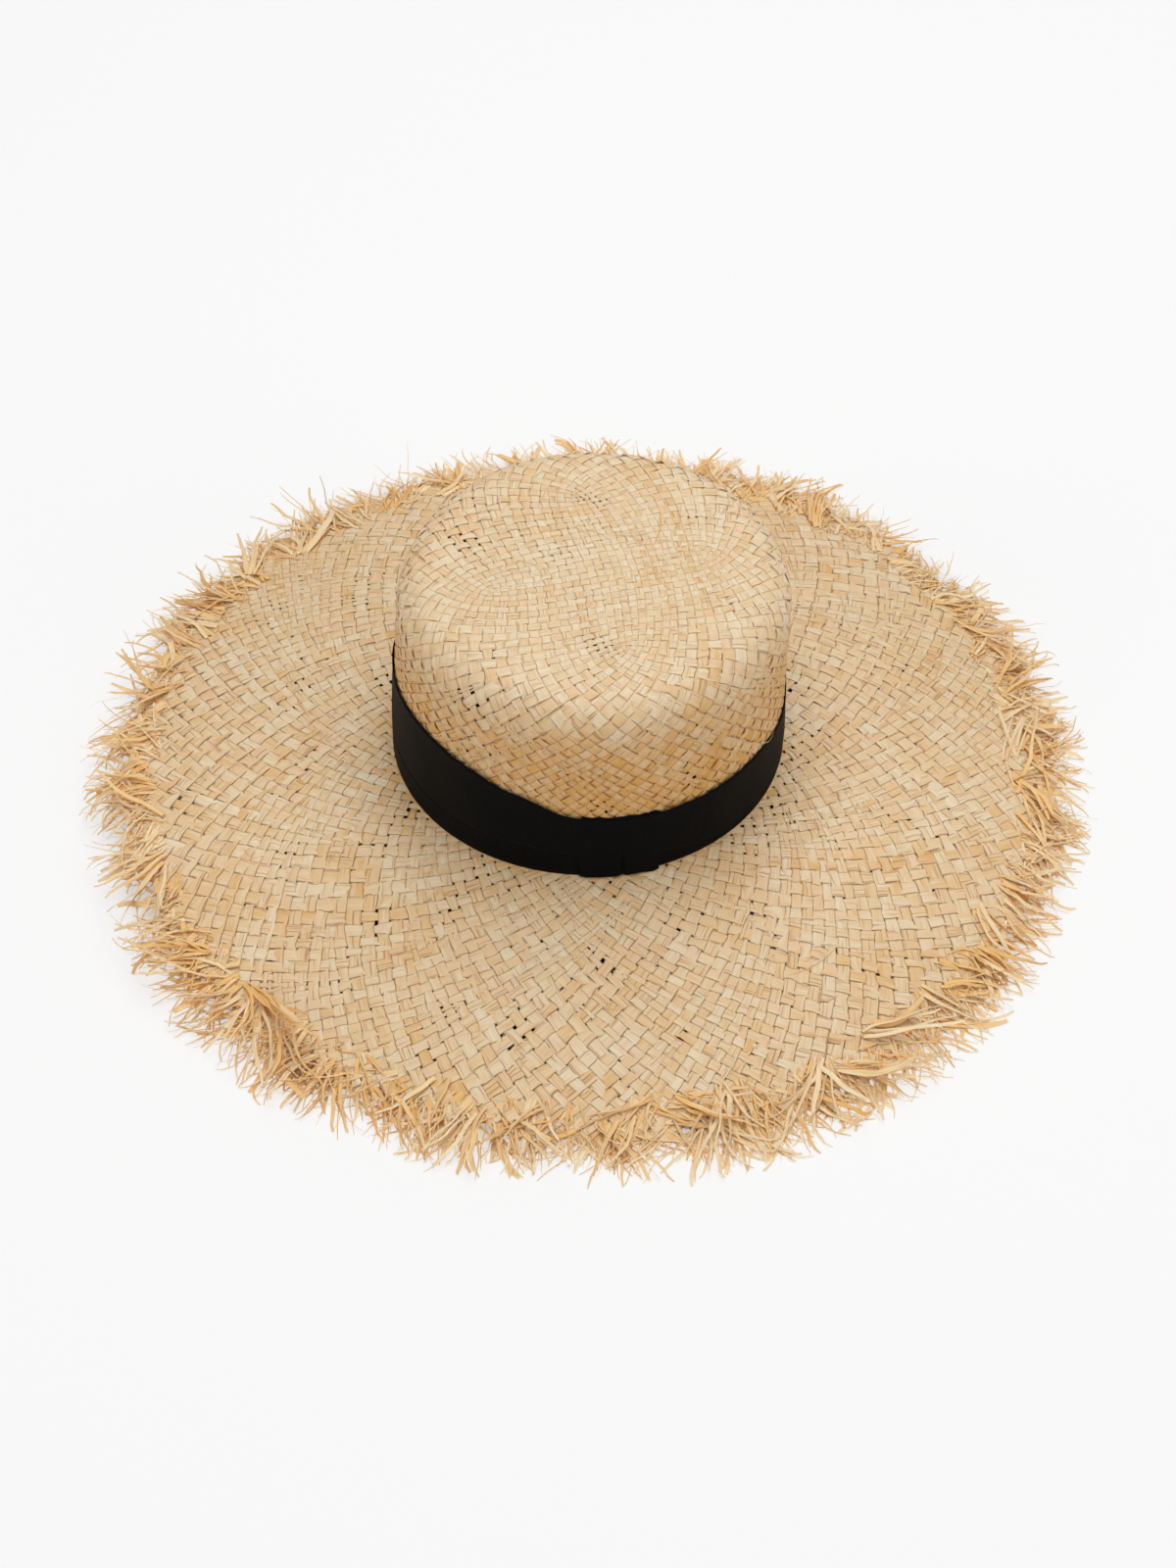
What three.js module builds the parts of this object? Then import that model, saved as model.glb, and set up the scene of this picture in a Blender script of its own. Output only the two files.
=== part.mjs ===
// Wide-brimmed woven straw sun hat with a frayed rim, a black ribbon band and a ribbon tab.
// Millimetres, +Z up. The hat rests on its rim on Z = 0; the crown's axis is the Z axis.
// The front, where the ribbon tab sits, faces -Y. Angles are counted from -Y towards +X.
import * as THREE from 'three';

// ---- Driving dimensions -------------------------------------------------
const SEGMENTS = 48;            // facets round every ring
const GAP = 0.3;                // clearance between pieces that touch in life
const STRAW_THICKNESS = 1.8;    // two layers of raffia strip at a crossing

const HEADLINE_Z = 31;          // height at which crown and brim meet
const CROWN_BASE_RADIUS = 93.7; // outside of the crown at the headline
const CROWN_TAPER = 0.02;       // radius lost per millimetre of height
const SHOULDER_Z = 94;          // wall height above the headline
const SHOULDER_RADIUS = 17;     // rounding between wall and tip
const TIP_DOME = 3;             // rise of the tip's centre above its rim

const BRIM_RADIUS = 217.5;      // edge of the woven brim
const RIM_TOP_Z = 8.4;          // upper face of the woven brim at that edge
const BRIM_DROOP_POWER = 1.35;  // the brim falls faster towards its edge
const BRIM_FLAT_RADIUS = 94.6;  // the droop starts just outside the ribbon

const FRINGE_RADIUS = 245;      // tips of the frayed strands
const FRINGE_FOOT_INNER = 235;  // flat ring that the hat rests on
const FRINGE_FOOT_OUTER = 243;

const RIBBON_THICKNESS = 0.8;
const RIBBON_LIFT = 0.9;        // ribbon's lower edge above the headline
// Height of the ribbon round the crown: [degrees from the front towards +X, millimetres].
const RIBBON_HEIGHTS = [
  [-180, 42], [-140, 45], [-85, 55], [-58, 60], [-37, 57], [-21, 50], [-4, 41],
  [5, 39.5], [22, 39], [42, 39], [58, 38], [80, 35], [110, 35], [145, 38], [180, 42],
];

const TAB_CENTRE_DEG = 9;       // the tab sits just right of the front
const TAB_WIDTH_DEG = 23;       // 38 mm round the crown
const TAB_THICKNESS = 1.0;
const TAB_BOTTOM = 0.9;         // above the headline
const TAB_TOP = 40.6;
const TAB_FACETS = 6;

const SWEATBAND_THICKNESS = 0.8;
const SWEATBAND_BOTTOM = 0.6;   // above the headline
const SWEATBAND_HEIGHT = 30;
const STITCH_RADIUS = 0.3;
const STITCH_HEIGHT = 3.5;      // above the headline

const LABEL_THICKNESS = 0.5;
const LABEL_BOTTOM = 6;         // above the headline
const LABEL_TOP = 26;
const LABEL_WIDTH_DEG = 11.25;  // 18 mm, at the back

// ---- Materials ----------------------------------------------------------
const finish = (color, roughness) =>
  new THREE.MeshStandardMaterial({ color, roughness, metalness: 0 });
const straw = finish(0xd8b88a, 0.7);
const frayedStraw = finish(0xd6ae78, 0.72);
const blackRibbon = finish(0x161616, 0.8);
const cream = finish(0xe9e0cc, 0.85);
const whiteTape = finish(0xf2f0ea, 0.8);

// ---- Helpers ------------------------------------------------------------
const radians = (degrees) => degrees * Math.PI / 180;

/** Closed ring or cup turned about Z from [radius, height] points. */
function turned(points) {
  const profile = points.map(([radius, height]) => new THREE.Vector2(radius, height));
  const geometry = new THREE.LatheGeometry(profile, SEGMENTS);
  geometry.rotateX(Math.PI / 2);
  return geometry;
}

/** Ring with a rectangular section. */
function band(innerRadius, outerRadius, bottom, top) {
  return turned([
    [innerRadius, bottom], [outerRadius, bottom], [outerRadius, top],
    [innerRadius, top], [innerRadius, bottom],
  ]);
}

/** Curved plate between two radii, bent round Z in facets. */
function curvedPlate(innerRadius, outerRadius, centreDeg, widthDeg, facets, bottom, top) {
  const shape = new THREE.Shape();
  const start = radians(centreDeg - widthDeg / 2 - 90);
  const step = radians(widthDeg) / facets;
  const spots = Array.from({ length: facets + 1 }, (_, i) => start + i * step);
  const at = (radius, angle) => [radius * Math.cos(angle), radius * Math.sin(angle)];
  shape.moveTo(...at(outerRadius, spots[0]));
  spots.slice(1).forEach((angle) => shape.lineTo(...at(outerRadius, angle)));
  [...spots].reverse().forEach((angle) => shape.lineTo(...at(innerRadius, angle)));
  shape.closePath();
  const geometry = new THREE.ExtrudeGeometry(shape, { depth: top - bottom, bevelEnabled: false });
  geometry.translate(0, 0, bottom);
  return geometry;
}

/** Moves every vertex of a geometry with move(point), in place. */
function reshape(geometry, move) {
  const positions = geometry.attributes.position;
  const point = new THREE.Vector3();
  for (let i = 0; i < positions.count; i += 1) {
    point.fromBufferAttribute(positions, i);
    move(point);
    positions.setXYZ(i, point.x, point.y, point.z);
  }
  geometry.computeVertexNormals();
  return geometry;
}

/** Leans a vertex inwards with height, as the crown's wall does. */
function taper(point) {
  const radius = Math.hypot(point.x, point.y);
  const leaned = radius - CROWN_TAPER * Math.max(0, point.z - HEADLINE_Z);
  point.x *= leaned / radius;
  point.y *= leaned / radius;
}

/** Ribbon height at an angle, smooth between the listed ones. */
function ribbonHeight(degrees) {
  const last = RIBBON_HEIGHTS.length - 1;
  const next = RIBBON_HEIGHTS.findIndex(([angle], i) => i > 0 && degrees <= angle);
  const i = next < 0 ? last : next;
  const [fromAngle, fromHeight] = RIBBON_HEIGHTS[i - 1];
  const [toAngle, toHeight] = RIBBON_HEIGHTS[i];
  const t = THREE.MathUtils.smoothstep(degrees, fromAngle, toAngle);
  return fromHeight + (toHeight - fromHeight) * t;
}

/** Upper face of the woven brim at a radius. */
function brimTop(radius) {
  const t = Math.max(0, (radius - BRIM_FLAT_RADIUS) / (BRIM_RADIUS - BRIM_FLAT_RADIUS));
  return HEADLINE_Z - (HEADLINE_Z - RIM_TOP_Z) * t ** BRIM_DROOP_POWER;
}

const group = new THREE.Group();

/** Adds one named piece to the hat. */
function add(name, geometry, material) {
  const mesh = new THREE.Mesh(geometry, material);
  mesh.name = name;
  group.add(mesh);
}

// ---- Crown: near-straight wall, rounded shoulder, nearly flat tip --------
const wallTopRadius = CROWN_BASE_RADIUS - CROWN_TAPER * SHOULDER_Z;
const shoulderCentre = wallTopRadius - SHOULDER_RADIUS;

/** Crown section from the bottom edge to the axis, set in by an offset. */
function crownSection(inset) {
  const points = [[CROWN_BASE_RADIUS - inset, HEADLINE_Z + GAP]];
  [0.33, 0.66].forEach((t) => points.push([
    CROWN_BASE_RADIUS - CROWN_TAPER * SHOULDER_Z * t - inset, HEADLINE_Z + SHOULDER_Z * t,
  ]));
  [0, 22.5, 45, 67.5, 90].forEach((degrees) => {
    const reach = SHOULDER_RADIUS - inset;
    points.push([
      shoulderCentre + reach * Math.cos(radians(degrees)),
      HEADLINE_Z + SHOULDER_Z + reach * Math.sin(radians(degrees)),
    ]);
  });
  const rimHeight = HEADLINE_Z + SHOULDER_Z + SHOULDER_RADIUS - inset;
  points.push([shoulderCentre * 0.55, rimHeight + TIP_DOME * 0.7]);
  points.push([0, rimHeight + TIP_DOME]);
  return points;
}
add('crown', turned([
  ...crownSection(STRAW_THICKNESS).reverse(), ...crownSection(0),
]), straw);

// ---- Brim: drooping sheet from the headline to the frayed edge -----------
const brimInner = CROWN_BASE_RADIUS - STRAW_THICKNESS;
const brimRadii = [brimInner, BRIM_FLAT_RADIUS, 112, 132, 152, 172, 192, 206, BRIM_RADIUS];
const brimUpper = brimRadii.map((radius) => [radius, brimTop(radius)]);
const brimLower = brimRadii.map((radius) => [radius, brimTop(radius) - STRAW_THICKNESS]);
add('brim', turned([...brimLower, ...brimUpper.reverse(), brimLower[0]]), straw);

// ---- Fringe: the frayed ends of the brim's own strands -------------------
const rootRadius = BRIM_RADIUS + GAP;
add('fringe', turned([
  [rootRadius, RIM_TOP_Z - STRAW_THICKNESS],
  [FRINGE_FOOT_INNER, 0],
  [FRINGE_FOOT_OUTER, 0],
  [FRINGE_RADIUS, 1.2],
  [FRINGE_FOOT_INNER, 4.6],
  [rootRadius, RIM_TOP_Z],
  [rootRadius, RIM_TOP_Z - STRAW_THICKNESS],
]), frayedStraw);

// ---- Ribbon band: deep on the left, drawn down under the tab -------------
const ribbonInner = CROWN_BASE_RADIUS + GAP;
const ribbonBottom = HEADLINE_Z + RIBBON_LIFT;
const ribbonBand = band(ribbonInner, ribbonInner + RIBBON_THICKNESS, ribbonBottom, ribbonBottom + 1);
reshape(ribbonBand, (point) => {
  const degrees = THREE.MathUtils.radToDeg(Math.atan2(point.x, -point.y));
  if (point.z > ribbonBottom + 0.5) point.z = HEADLINE_Z + ribbonHeight(degrees);
  taper(point);
});
add('ribbon_band', ribbonBand, blackRibbon);

// ---- Ribbon tab: short flat wrap over the band's join --------------------
const tabInner = ribbonInner + RIBBON_THICKNESS + GAP;
const ribbonTab = curvedPlate(
  tabInner, tabInner + TAB_THICKNESS, TAB_CENTRE_DEG, TAB_WIDTH_DEG, TAB_FACETS,
  HEADLINE_Z + TAB_BOTTOM, HEADLINE_Z + TAB_TOP,
);
add('ribbon_tab', reshape(ribbonTab, taper), blackRibbon);

// ---- Sweatband: cloth tape standing inside the headline ------------------
const sweatbandOuter = CROWN_BASE_RADIUS - STRAW_THICKNESS - GAP;
const sweatbandInner = sweatbandOuter - SWEATBAND_THICKNESS;
const sweatbandBottom = HEADLINE_Z + SWEATBAND_BOTTOM;
add('sweatband', reshape(
  band(sweatbandInner, sweatbandOuter, sweatbandBottom, sweatbandBottom + SWEATBAND_HEIGHT),
  taper,
), cream);

// ---- Stitching: one thread round the sweatband's lower edge --------------
const stitchCentre = sweatbandInner - GAP - STITCH_RADIUS;
const stitchZ = HEADLINE_Z + STITCH_HEIGHT;
const stitch = turned([
  [stitchCentre + STITCH_RADIUS, stitchZ],
  [stitchCentre, stitchZ + STITCH_RADIUS],
  [stitchCentre - STITCH_RADIUS, stitchZ],
  [stitchCentre, stitchZ - STITCH_RADIUS],
  [stitchCentre + STITCH_RADIUS, stitchZ],
]);
add('sweatband_stitch', reshape(stitch, taper), cream);

// ---- Blank tape label at the back of the sweatband -----------------------
const labelOuter = sweatbandInner - GAP;
const label = curvedPlate(
  labelOuter - LABEL_THICKNESS, labelOuter, 180, LABEL_WIDTH_DEG, 2,
  HEADLINE_Z + LABEL_BOTTOM, HEADLINE_Z + LABEL_TOP,
);
add('size_label', reshape(label, taper), whiteTape);

export default group;
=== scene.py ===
"""Finished look of a wide-brimmed woven straw sun hat.

Everything is in metres with +Z up. The hat rests on its rim on z = 0, the crown's axis is
the Z axis, and the front, where the ribbon tab sits, faces -Y. Sizes inside the classes are
in millimetres and are turned into metres when a mesh is made.

The straw is really woven: two families of raffia strips spiral out of the crown's tip at
plus and minus 45 degrees, pass over and under each other, and end in a frayed fringe.
"""

from __future__ import annotations

import logging
import math
import sys
from dataclasses import dataclass, field
from enum import Enum

import bpy
import numpy as np
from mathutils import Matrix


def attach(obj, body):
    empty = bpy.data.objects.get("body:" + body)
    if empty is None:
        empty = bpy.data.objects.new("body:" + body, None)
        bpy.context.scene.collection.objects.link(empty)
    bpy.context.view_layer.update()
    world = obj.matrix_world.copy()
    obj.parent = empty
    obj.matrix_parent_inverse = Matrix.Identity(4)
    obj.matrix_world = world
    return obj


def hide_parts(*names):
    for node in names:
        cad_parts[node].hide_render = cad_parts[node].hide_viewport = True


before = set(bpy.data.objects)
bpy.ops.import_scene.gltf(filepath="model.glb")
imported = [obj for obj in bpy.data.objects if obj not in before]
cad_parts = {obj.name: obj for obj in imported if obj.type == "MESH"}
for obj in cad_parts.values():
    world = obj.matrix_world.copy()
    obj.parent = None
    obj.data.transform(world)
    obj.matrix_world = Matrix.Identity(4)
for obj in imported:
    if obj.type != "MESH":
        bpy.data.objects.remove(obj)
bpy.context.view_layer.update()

LOG = logging.getLogger("sun_hat")
MM = 0.001
FULL_TURN = 2.0 * math.pi
QUARTER_TURN = 0.5 * math.pi


class Hand(Enum):
    """Which way a family of strips turns as it runs outwards."""

    CLOCKWISE = -1
    ANTICLOCKWISE = 1


class Slot(Enum):
    """Names of the material slots."""

    STRAW = "straw"
    FRAYED = "frayed_straw"
    RIBBON = "ribbon"
    SWEATBAND = "sweatband"
    THREAD = "thread"
    LABEL = "label"


# ---------------------------------------------------------------------------
# Small numeric helpers
# ---------------------------------------------------------------------------


def smooth_step(x: np.ndarray) -> np.ndarray:
    """Return 3x^2 - 2x^3 with x held between 0 and 1."""
    x = np.clip(x, 0.0, 1.0)
    return x * x * (3.0 - 2.0 * x)


def unit(vectors: np.ndarray) -> np.ndarray:
    """Return vectors scaled to length 1 along the last axis."""
    size = np.linalg.norm(vectors, axis=-1, keepdims=True)
    return vectors / np.maximum(size, 1e-12)


def chance(ident: np.ndarray, channel: int) -> np.ndarray:
    """Return an even random number 0..1 for each strip, the same wherever it is asked for.

    The number is the fraction of 43758.5453 sin(12.9898 ident + 78.233 channel).
    """
    value = np.sin(12.9898 * ident + 78.233 * channel) * 43758.5453
    return (value - np.floor(value))[:, None]


def bell(ident: np.ndarray, channel: int) -> np.ndarray:
    """Return a bell-shaped random number for each strip, mean 0 and deviation 1."""
    four = sum(chance(ident, 10 * channel + k) for k in range(4))
    return (four - 2.0) * math.sqrt(3.0)


def strip_wave(ident: np.ndarray, channel: int, along: np.ndarray, waves: tuple) -> np.ndarray:
    """Return a slow random wave along each strip, tied to the strip's identity.

    Args:
        ident: Identity of each strip.
        channel: Keeps different waves apart.
        along: Distance along, (strips, rows).
        waves: Pairs of (amplitude, wavelength).

    Returns:
        Sum of a * sin(2 pi x / length + phase), (strips, rows).
    """
    total = np.zeros(along.shape)
    for k, (amplitude, length) in enumerate(waves):
        phase = FULL_TURN * chance(ident, 100 * channel + 2 * k)
        pace = length * (0.75 + 0.5 * chance(ident, 100 * channel + 2 * k + 1))
        total += amplitude * np.sin(FULL_TURN * along / pace + phase)
    return total


def wander(rng: np.random.Generator, count: int, along: np.ndarray, waves: tuple) -> np.ndarray:
    """Make one smooth random line per strand.

    The line is the sum over waves of a * sin(2 pi x / length + phase), with a random phase
    and a length varied by a quarter for each strand.

    Args:
        rng: Random source.
        count: Number of strands.
        along: Distance along, shape (rows,) or (count, rows).
        waves: Pairs of (amplitude, wavelength).

    Returns:
        Array of shape (count, rows).
    """
    along = np.broadcast_to(along, (count, along.shape[-1]))
    total = np.zeros(along.shape)
    for amplitude, length in waves:
        phase = rng.uniform(0.0, FULL_TURN, (count, 1))
        pace = length * rng.uniform(0.75, 1.25, (count, 1))
        total += amplitude * np.sin(FULL_TURN * along / pace + phase)
    return total


def periodic(angle: np.ndarray, stops_deg: tuple, values: tuple) -> np.ndarray:
    """Interpolate values round a circle with a smooth step between stops.

    Args:
        angle: Angles in radians, any turn.
        stops_deg: Stops in degrees from -180 to 180, both ends included.
        values: Value at each stop; the first and last are equal.

    Returns:
        Values at the angles.
    """
    stops = np.radians(stops_deg)
    given = np.asarray(values, float)
    turn = (np.asarray(angle) + math.pi) % FULL_TURN - math.pi
    i = np.clip(np.searchsorted(stops, turn, side="right") - 1, 0, len(stops) - 2)
    t = smooth_step((turn - stops[i]) / (stops[i + 1] - stops[i]))
    return given[i] + (given[i + 1] - given[i]) * t


# ---------------------------------------------------------------------------
# Mesh helpers
# ---------------------------------------------------------------------------


def quad_mesh(
    name: str, points: np.ndarray, quads: np.ndarray, extra: dict, crisp_deg: float = 180.0
) -> bpy.types.Object:
    """Make a smooth object from points in millimetres and quads.

    Args:
        name: Object name.
        points: Array (n, 3) in millimetres.
        quads: Array (f, 4) of point numbers, counter-clockwise from outside.
        extra: Point attributes by name; (n,) arrays are floats, (n, 3) arrays vectors.
        crisp_deg: Edges that turn by more than this are shaded as sharp corners.

    Returns:
        The new object, linked to the scene.
    """
    used, quads = np.unique(quads, return_inverse=True)
    quads = quads.reshape(-1, 4)
    mesh = bpy.data.meshes.new(name)
    mesh.vertices.add(len(used))
    mesh.vertices.foreach_set("co", (points[used] * MM).astype(np.float32).ravel())
    mesh.loops.add(quads.size)
    mesh.loops.foreach_set("vertex_index", quads.astype(np.int32).ravel())
    mesh.polygons.add(len(quads))
    mesh.polygons.foreach_set("loop_start", np.arange(0, quads.size, 4, dtype=np.int32))
    mesh.update(calc_edges=True)
    mesh.polygons.foreach_set("use_smooth", np.ones(len(quads), bool))
    if crisp_deg < 180.0:
        mesh.set_sharp_from_angle(angle=math.radians(crisp_deg))
    for key, values in extra.items():
        values = np.asarray(values, np.float32)[used]
        if values.ndim == 1:
            layer = mesh.attributes.new(key, "FLOAT", "POINT")
            layer.data.foreach_set("value", values)
        else:
            layer = mesh.attributes.new(key, "FLOAT_VECTOR", "POINT")
            layer.data.foreach_set("vector", values.ravel())
    piece = bpy.data.objects.new(name, mesh)
    bpy.context.scene.collection.objects.link(piece)
    return piece


@dataclass
class StripSection:
    """Flat closed lens carried along each strip: a hexagon in (across, lift)."""

    across: tuple = (-1.0, -0.82, 0.82, 1.0, 0.82, -0.82)
    lift: tuple = (0.0, 1.0, 1.0, 0.0, -1.0, -1.0)

    def sweep(
        self,
        centre: np.ndarray,
        normal: np.ndarray,
        half_width: np.ndarray,
        half_thick: np.ndarray,
        tilt: np.ndarray,
        first: np.ndarray,
        last: np.ndarray,
    ) -> tuple:
        """Carry the section along many strips at once.

        With T the unit tangent of a strip, B = N x T and M = T x B, a point of the strip is
        C + a w (B cos t + M sin t) + l h (M cos t - B sin t), for section point (a, l),
        half width w, half thickness h and tilt t.

        Args:
            centre: Centre lines, (strips, rows, 3).
            normal: Surface normals there, (strips, rows, 3).
            half_width: (strips, rows).
            half_thick: (strips, rows).
            tilt: (strips, rows), radians.
            first: First row used by each strip.
            last: Last row used by each strip.

        Returns:
            Points (n, 3), quads (f, 4), and the across value of each point (n,).
        """
        strips, rows = centre.shape[:2]
        sides = len(self.across)
        tangent = unit(np.gradient(centre, axis=1))
        side = unit(np.cross(normal, tangent))
        up = np.cross(tangent, side)
        turned_side = side * np.cos(tilt)[..., None] + up * np.sin(tilt)[..., None]
        turned_up = up * np.cos(tilt)[..., None] - side * np.sin(tilt)[..., None]
        across = np.asarray(self.across)
        lift = np.asarray(self.lift)
        points = (
            centre[:, :, None, :]
            + turned_side[:, :, None, :] * (half_width[..., None] * across)[..., None]
            + turned_up[:, :, None, :] * (half_thick[..., None] * lift)[..., None]
        )
        number = np.arange(strips * rows * sides).reshape(strips, rows, sides)
        ahead = np.roll(number, -1, axis=2)
        quads = np.stack(
            [number[:, :-1], ahead[:, :-1], ahead[:, 1:], number[:, 1:]], axis=-1
        )
        row = np.arange(rows - 1)
        live = (row >= first[:, None]) & (row < last[:, None])
        body = quads[live].reshape(-1, 4)
        strip = np.arange(strips)
        start = number[strip, first]
        end = number[strip, last]
        caps = [start[:, [3, 2, 1, 0]], end[:, [0, 1, 2, 3]]]
        if sides == 6:
            caps += [start[:, [5, 4, 3, 0]], end[:, [0, 3, 4, 5]]]
        spread = np.broadcast_to(across, (strips, rows, sides)).reshape(-1)
        return points.reshape(-1, 3), np.concatenate([body, *caps]), spread


FIBRE_SECTION = StripSection((-1.0, 0.0, 1.0, 0.0), (0.0, 1.0, 0.0, -1.0))


def shell(outer: np.ndarray, inner: np.ndarray, closed: bool) -> tuple:
    """Close two matching grids into one thin solid.

    Args:
        outer: Outer face, (columns, rows, 3); seen from outside, columns run to the right.
        inner: Inner face, same shape.
        closed: True where the columns run all the way round.

    Returns:
        Points (n, 3) and quads (f, 4).
    """
    columns, rows = outer.shape[:2]
    face = np.arange(columns * rows).reshape(columns, rows)
    back = face + columns * rows
    if closed:
        face = np.concatenate([face, face[:1]])
        back = np.concatenate([back, back[:1]])

    def patch(grid: np.ndarray) -> np.ndarray:
        """Return the quads of a grid of point numbers."""
        return np.stack(
            [grid[:-1, :-1], grid[1:, :-1], grid[1:, 1:], grid[:-1, 1:]], axis=-1
        ).reshape(-1, 4)

    def rim(a: np.ndarray, b: np.ndarray) -> np.ndarray:
        """Return the quads that join line a of the face to line b of the back."""
        return np.stack([a[1:], a[:-1], b[:-1], b[1:]], axis=-1)

    quads = [
        patch(face),
        patch(back)[:, ::-1],
        rim(face[:, 0], back[:, 0]),
        rim(face[:, -1], back[:, -1])[:, ::-1],
    ]
    if not closed:
        quads += [rim(face[0], back[0])[:, ::-1], rim(face[-1], back[-1])]
    points = np.concatenate([outer.reshape(-1, 3), inner.reshape(-1, 3)])
    return points, np.concatenate(quads)


# ---------------------------------------------------------------------------
# Form of the hat
# ---------------------------------------------------------------------------


@dataclass
class HatForm:
    """The middle surface of the straw, as a meridian turned about the Z axis."""

    headline: float = 31.0
    base_radius: float = 93.7
    taper: float = 0.02
    wall_rise: float = 94.0
    shoulder: float = 17.0
    dome: float = 3.0
    half_straw: float = 0.9
    fillet: float = 3.0
    brim_radius: float = 217.5
    rim_top: float = 8.4
    flat_radius: float = 94.6
    droop_power: float = 1.35
    outer_limit: float = 248.0
    floor_gap: float = 0.5
    floor_room: float = 3.0
    tip_lean: float = 3.2
    tip_sink: float = 5.0
    tip_swell: float = 0.012
    front_reach: float = 0.03

    def __post_init__(self) -> None:
        """Work out the meridian once, as arrays over the arc length s from the tip."""
        top_radius = self.base_radius - self.taper * self.wall_rise
        corner = top_radius - self.shoulder
        reach = self.shoulder - self.half_straw
        rise = self.headline + self.wall_rise
        tip = np.linspace(0.0, corner, 160)
        bend = np.linspace(QUARTER_TURN, 0.0, 60)
        wall = np.linspace(1.0, 0.0, 160)[1:]
        low = self.headline + self.fillet - self.half_straw
        wall_z = low + (rise - low) * wall
        turn = np.linspace(0.0, QUARTER_TURN, 16)[1:]
        foot = self.base_radius - self.half_straw - self.taper * self.fillet
        brim = np.linspace(foot + self.fillet, self.outer_limit, 320)[1:]
        radius = np.concatenate([
            tip,
            corner + reach * np.cos(bend),
            foot + (top_radius - self.half_straw - foot) * wall,
            foot + self.fillet * (1.0 - np.cos(turn)),
            brim,
        ])
        height = np.concatenate([
            rise + reach + self.dome * (1.0 - (tip / corner) ** 2),
            rise + reach * np.sin(bend),
            wall_z,
            low - self.fillet * np.sin(turn),
            self.brim_height(brim) - self.half_straw,
        ])
        step = np.hypot(np.diff(radius), np.diff(height))
        arc = np.concatenate([[0.0], np.cumsum(step)])
        keep = np.concatenate([[True], step > 1e-6])
        even = np.arange(0.0, arc[-1], 0.5)
        radius = np.interp(even, arc[keep], radius[keep])
        height = np.interp(even, arc[keep], height[keep])
        kernel = np.hanning(9) / np.hanning(9).sum()
        radius[6:-6] = np.convolve(radius, kernel, "same")[6:-6]
        height[6:-6] = np.convolve(height, kernel, "same")[6:-6]
        self.s = even
        self.radius = radius
        self.height = height
        slope_r = np.gradient(radius, even)
        slope_z = np.gradient(height, even)
        size = np.hypot(slope_r, slope_z)
        self.normal_r = -slope_z / size
        self.normal_z = slope_r / size
        pace = 1.0 / np.maximum(radius, 0.5)
        swirl = np.concatenate([[0.0], np.cumsum(0.5 * (pace[1:] + pace[:-1]) * np.diff(even))])
        first = 4
        self.log_plane = swirl - swirl[first] + math.log(even[first])
        self.log_plane[:first] = np.log(np.maximum(even[:first], 1e-3))

    def brim_height(self, radius: np.ndarray) -> np.ndarray:
        """Return the brim's upper face: H - (H - rim) t^p, t from the flat to the edge."""
        t = np.clip((radius - self.flat_radius) / (self.brim_radius - self.flat_radius), 0, None)
        return self.headline - (self.headline - self.rim_top) * t**self.droop_power

    def s_at_plane(self, plane_radius: np.ndarray) -> np.ndarray:
        """Return the arc length whose conformal plane radius is given."""
        log_radius = np.log(np.maximum(plane_radius, 1e-3))
        far = np.interp(log_radius, self.log_plane, self.s)
        return np.where(plane_radius < self.s[4], plane_radius, far)

    def skin(self, s: np.ndarray, theta: np.ndarray) -> tuple:
        """Return points and normals of the settled middle surface.

        The unsettled point is (r(s) cos t, r(s) sin t, z(s)) and its normal is
        (n_r cos t, n_r sin t, n_z).
        """
        r = np.interp(s, self.s, self.radius)
        z = np.interp(s, self.s, self.height)
        nr = np.interp(s, self.s, self.normal_r)
        nz = np.interp(s, self.s, self.normal_z)
        points = np.stack([r * np.cos(theta), r * np.sin(theta), z], axis=-1)
        normals = np.stack([nr * np.cos(theta), nr * np.sin(theta), nz], axis=-1)
        return points, unit(normals)

    def settle(self, points: np.ndarray) -> np.ndarray:
        """Bend points as the soft hat bends: a waving brim and a leaning crown.

        The brim rises by t^2 W(f) outside the headline, where t is the share of its width,
        f the angle from the front and W a sum of slow waves, and it reaches a little
        further at the front. The crown moves towards +X, and its tip sinks, dips and swells by
        slow waves of its height. Nothing goes under the floor.

        Args:
            points: (..., 3) in millimetres.

        Returns:
            The moved points.
        """
        x, y, z = points[..., 0], points[..., 1], points[..., 2]
        r = np.hypot(x, y)
        f = np.arctan2(x, -y)
        t = np.clip((r - self.base_radius) / (self.brim_radius - self.base_radius), 0.0, 1.3)
        wave = (
            -4.6 * np.sin(f)
            - 3.4 * np.cos(2.0 * f)
            - 0.8 * np.sin(2.0 * f)
            + 1.3 * np.sin(3.0 * f + 0.6)
            + 1.0 * np.sin(5.0 * f + 2.1)
            + 0.7 * np.sin(8.0 * f + 4.0) * t
        )
        lift = t * t * wave
        up = np.clip((z - self.headline) / (self.wall_rise + self.shoulder), 0.0, 1.05)
        lean = self.tip_lean * up**1.5
        uneven = 0.008 * np.cos(2.0 * f + 0.7) + 0.004 * np.cos(3.0 * f + 1.9)
        swell = 1.0 + up * (self.tip_swell + uneven)
        sag = 1.1 * smooth_step((up - 0.9) / 0.1) * np.sin(0.05 * x + 0.8) * np.cos(0.04 * y)
        low = z + lift + sag - self.tip_sink * smooth_step(up)
        room, gap = self.floor_room, self.floor_gap
        eased = gap + room * np.exp(np.minimum((low - gap - room) / room, 0.0))
        low = np.where(low < gap + room, eased, low)
        front = np.clip(-y / np.maximum(r, 1.0), 0.0, 1.0) ** 2
        longer = 1.0 + self.front_reach * smooth_step(t) * front
        return np.stack([x * swell * longer + lean, y * swell * longer, low], axis=-1)


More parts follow.
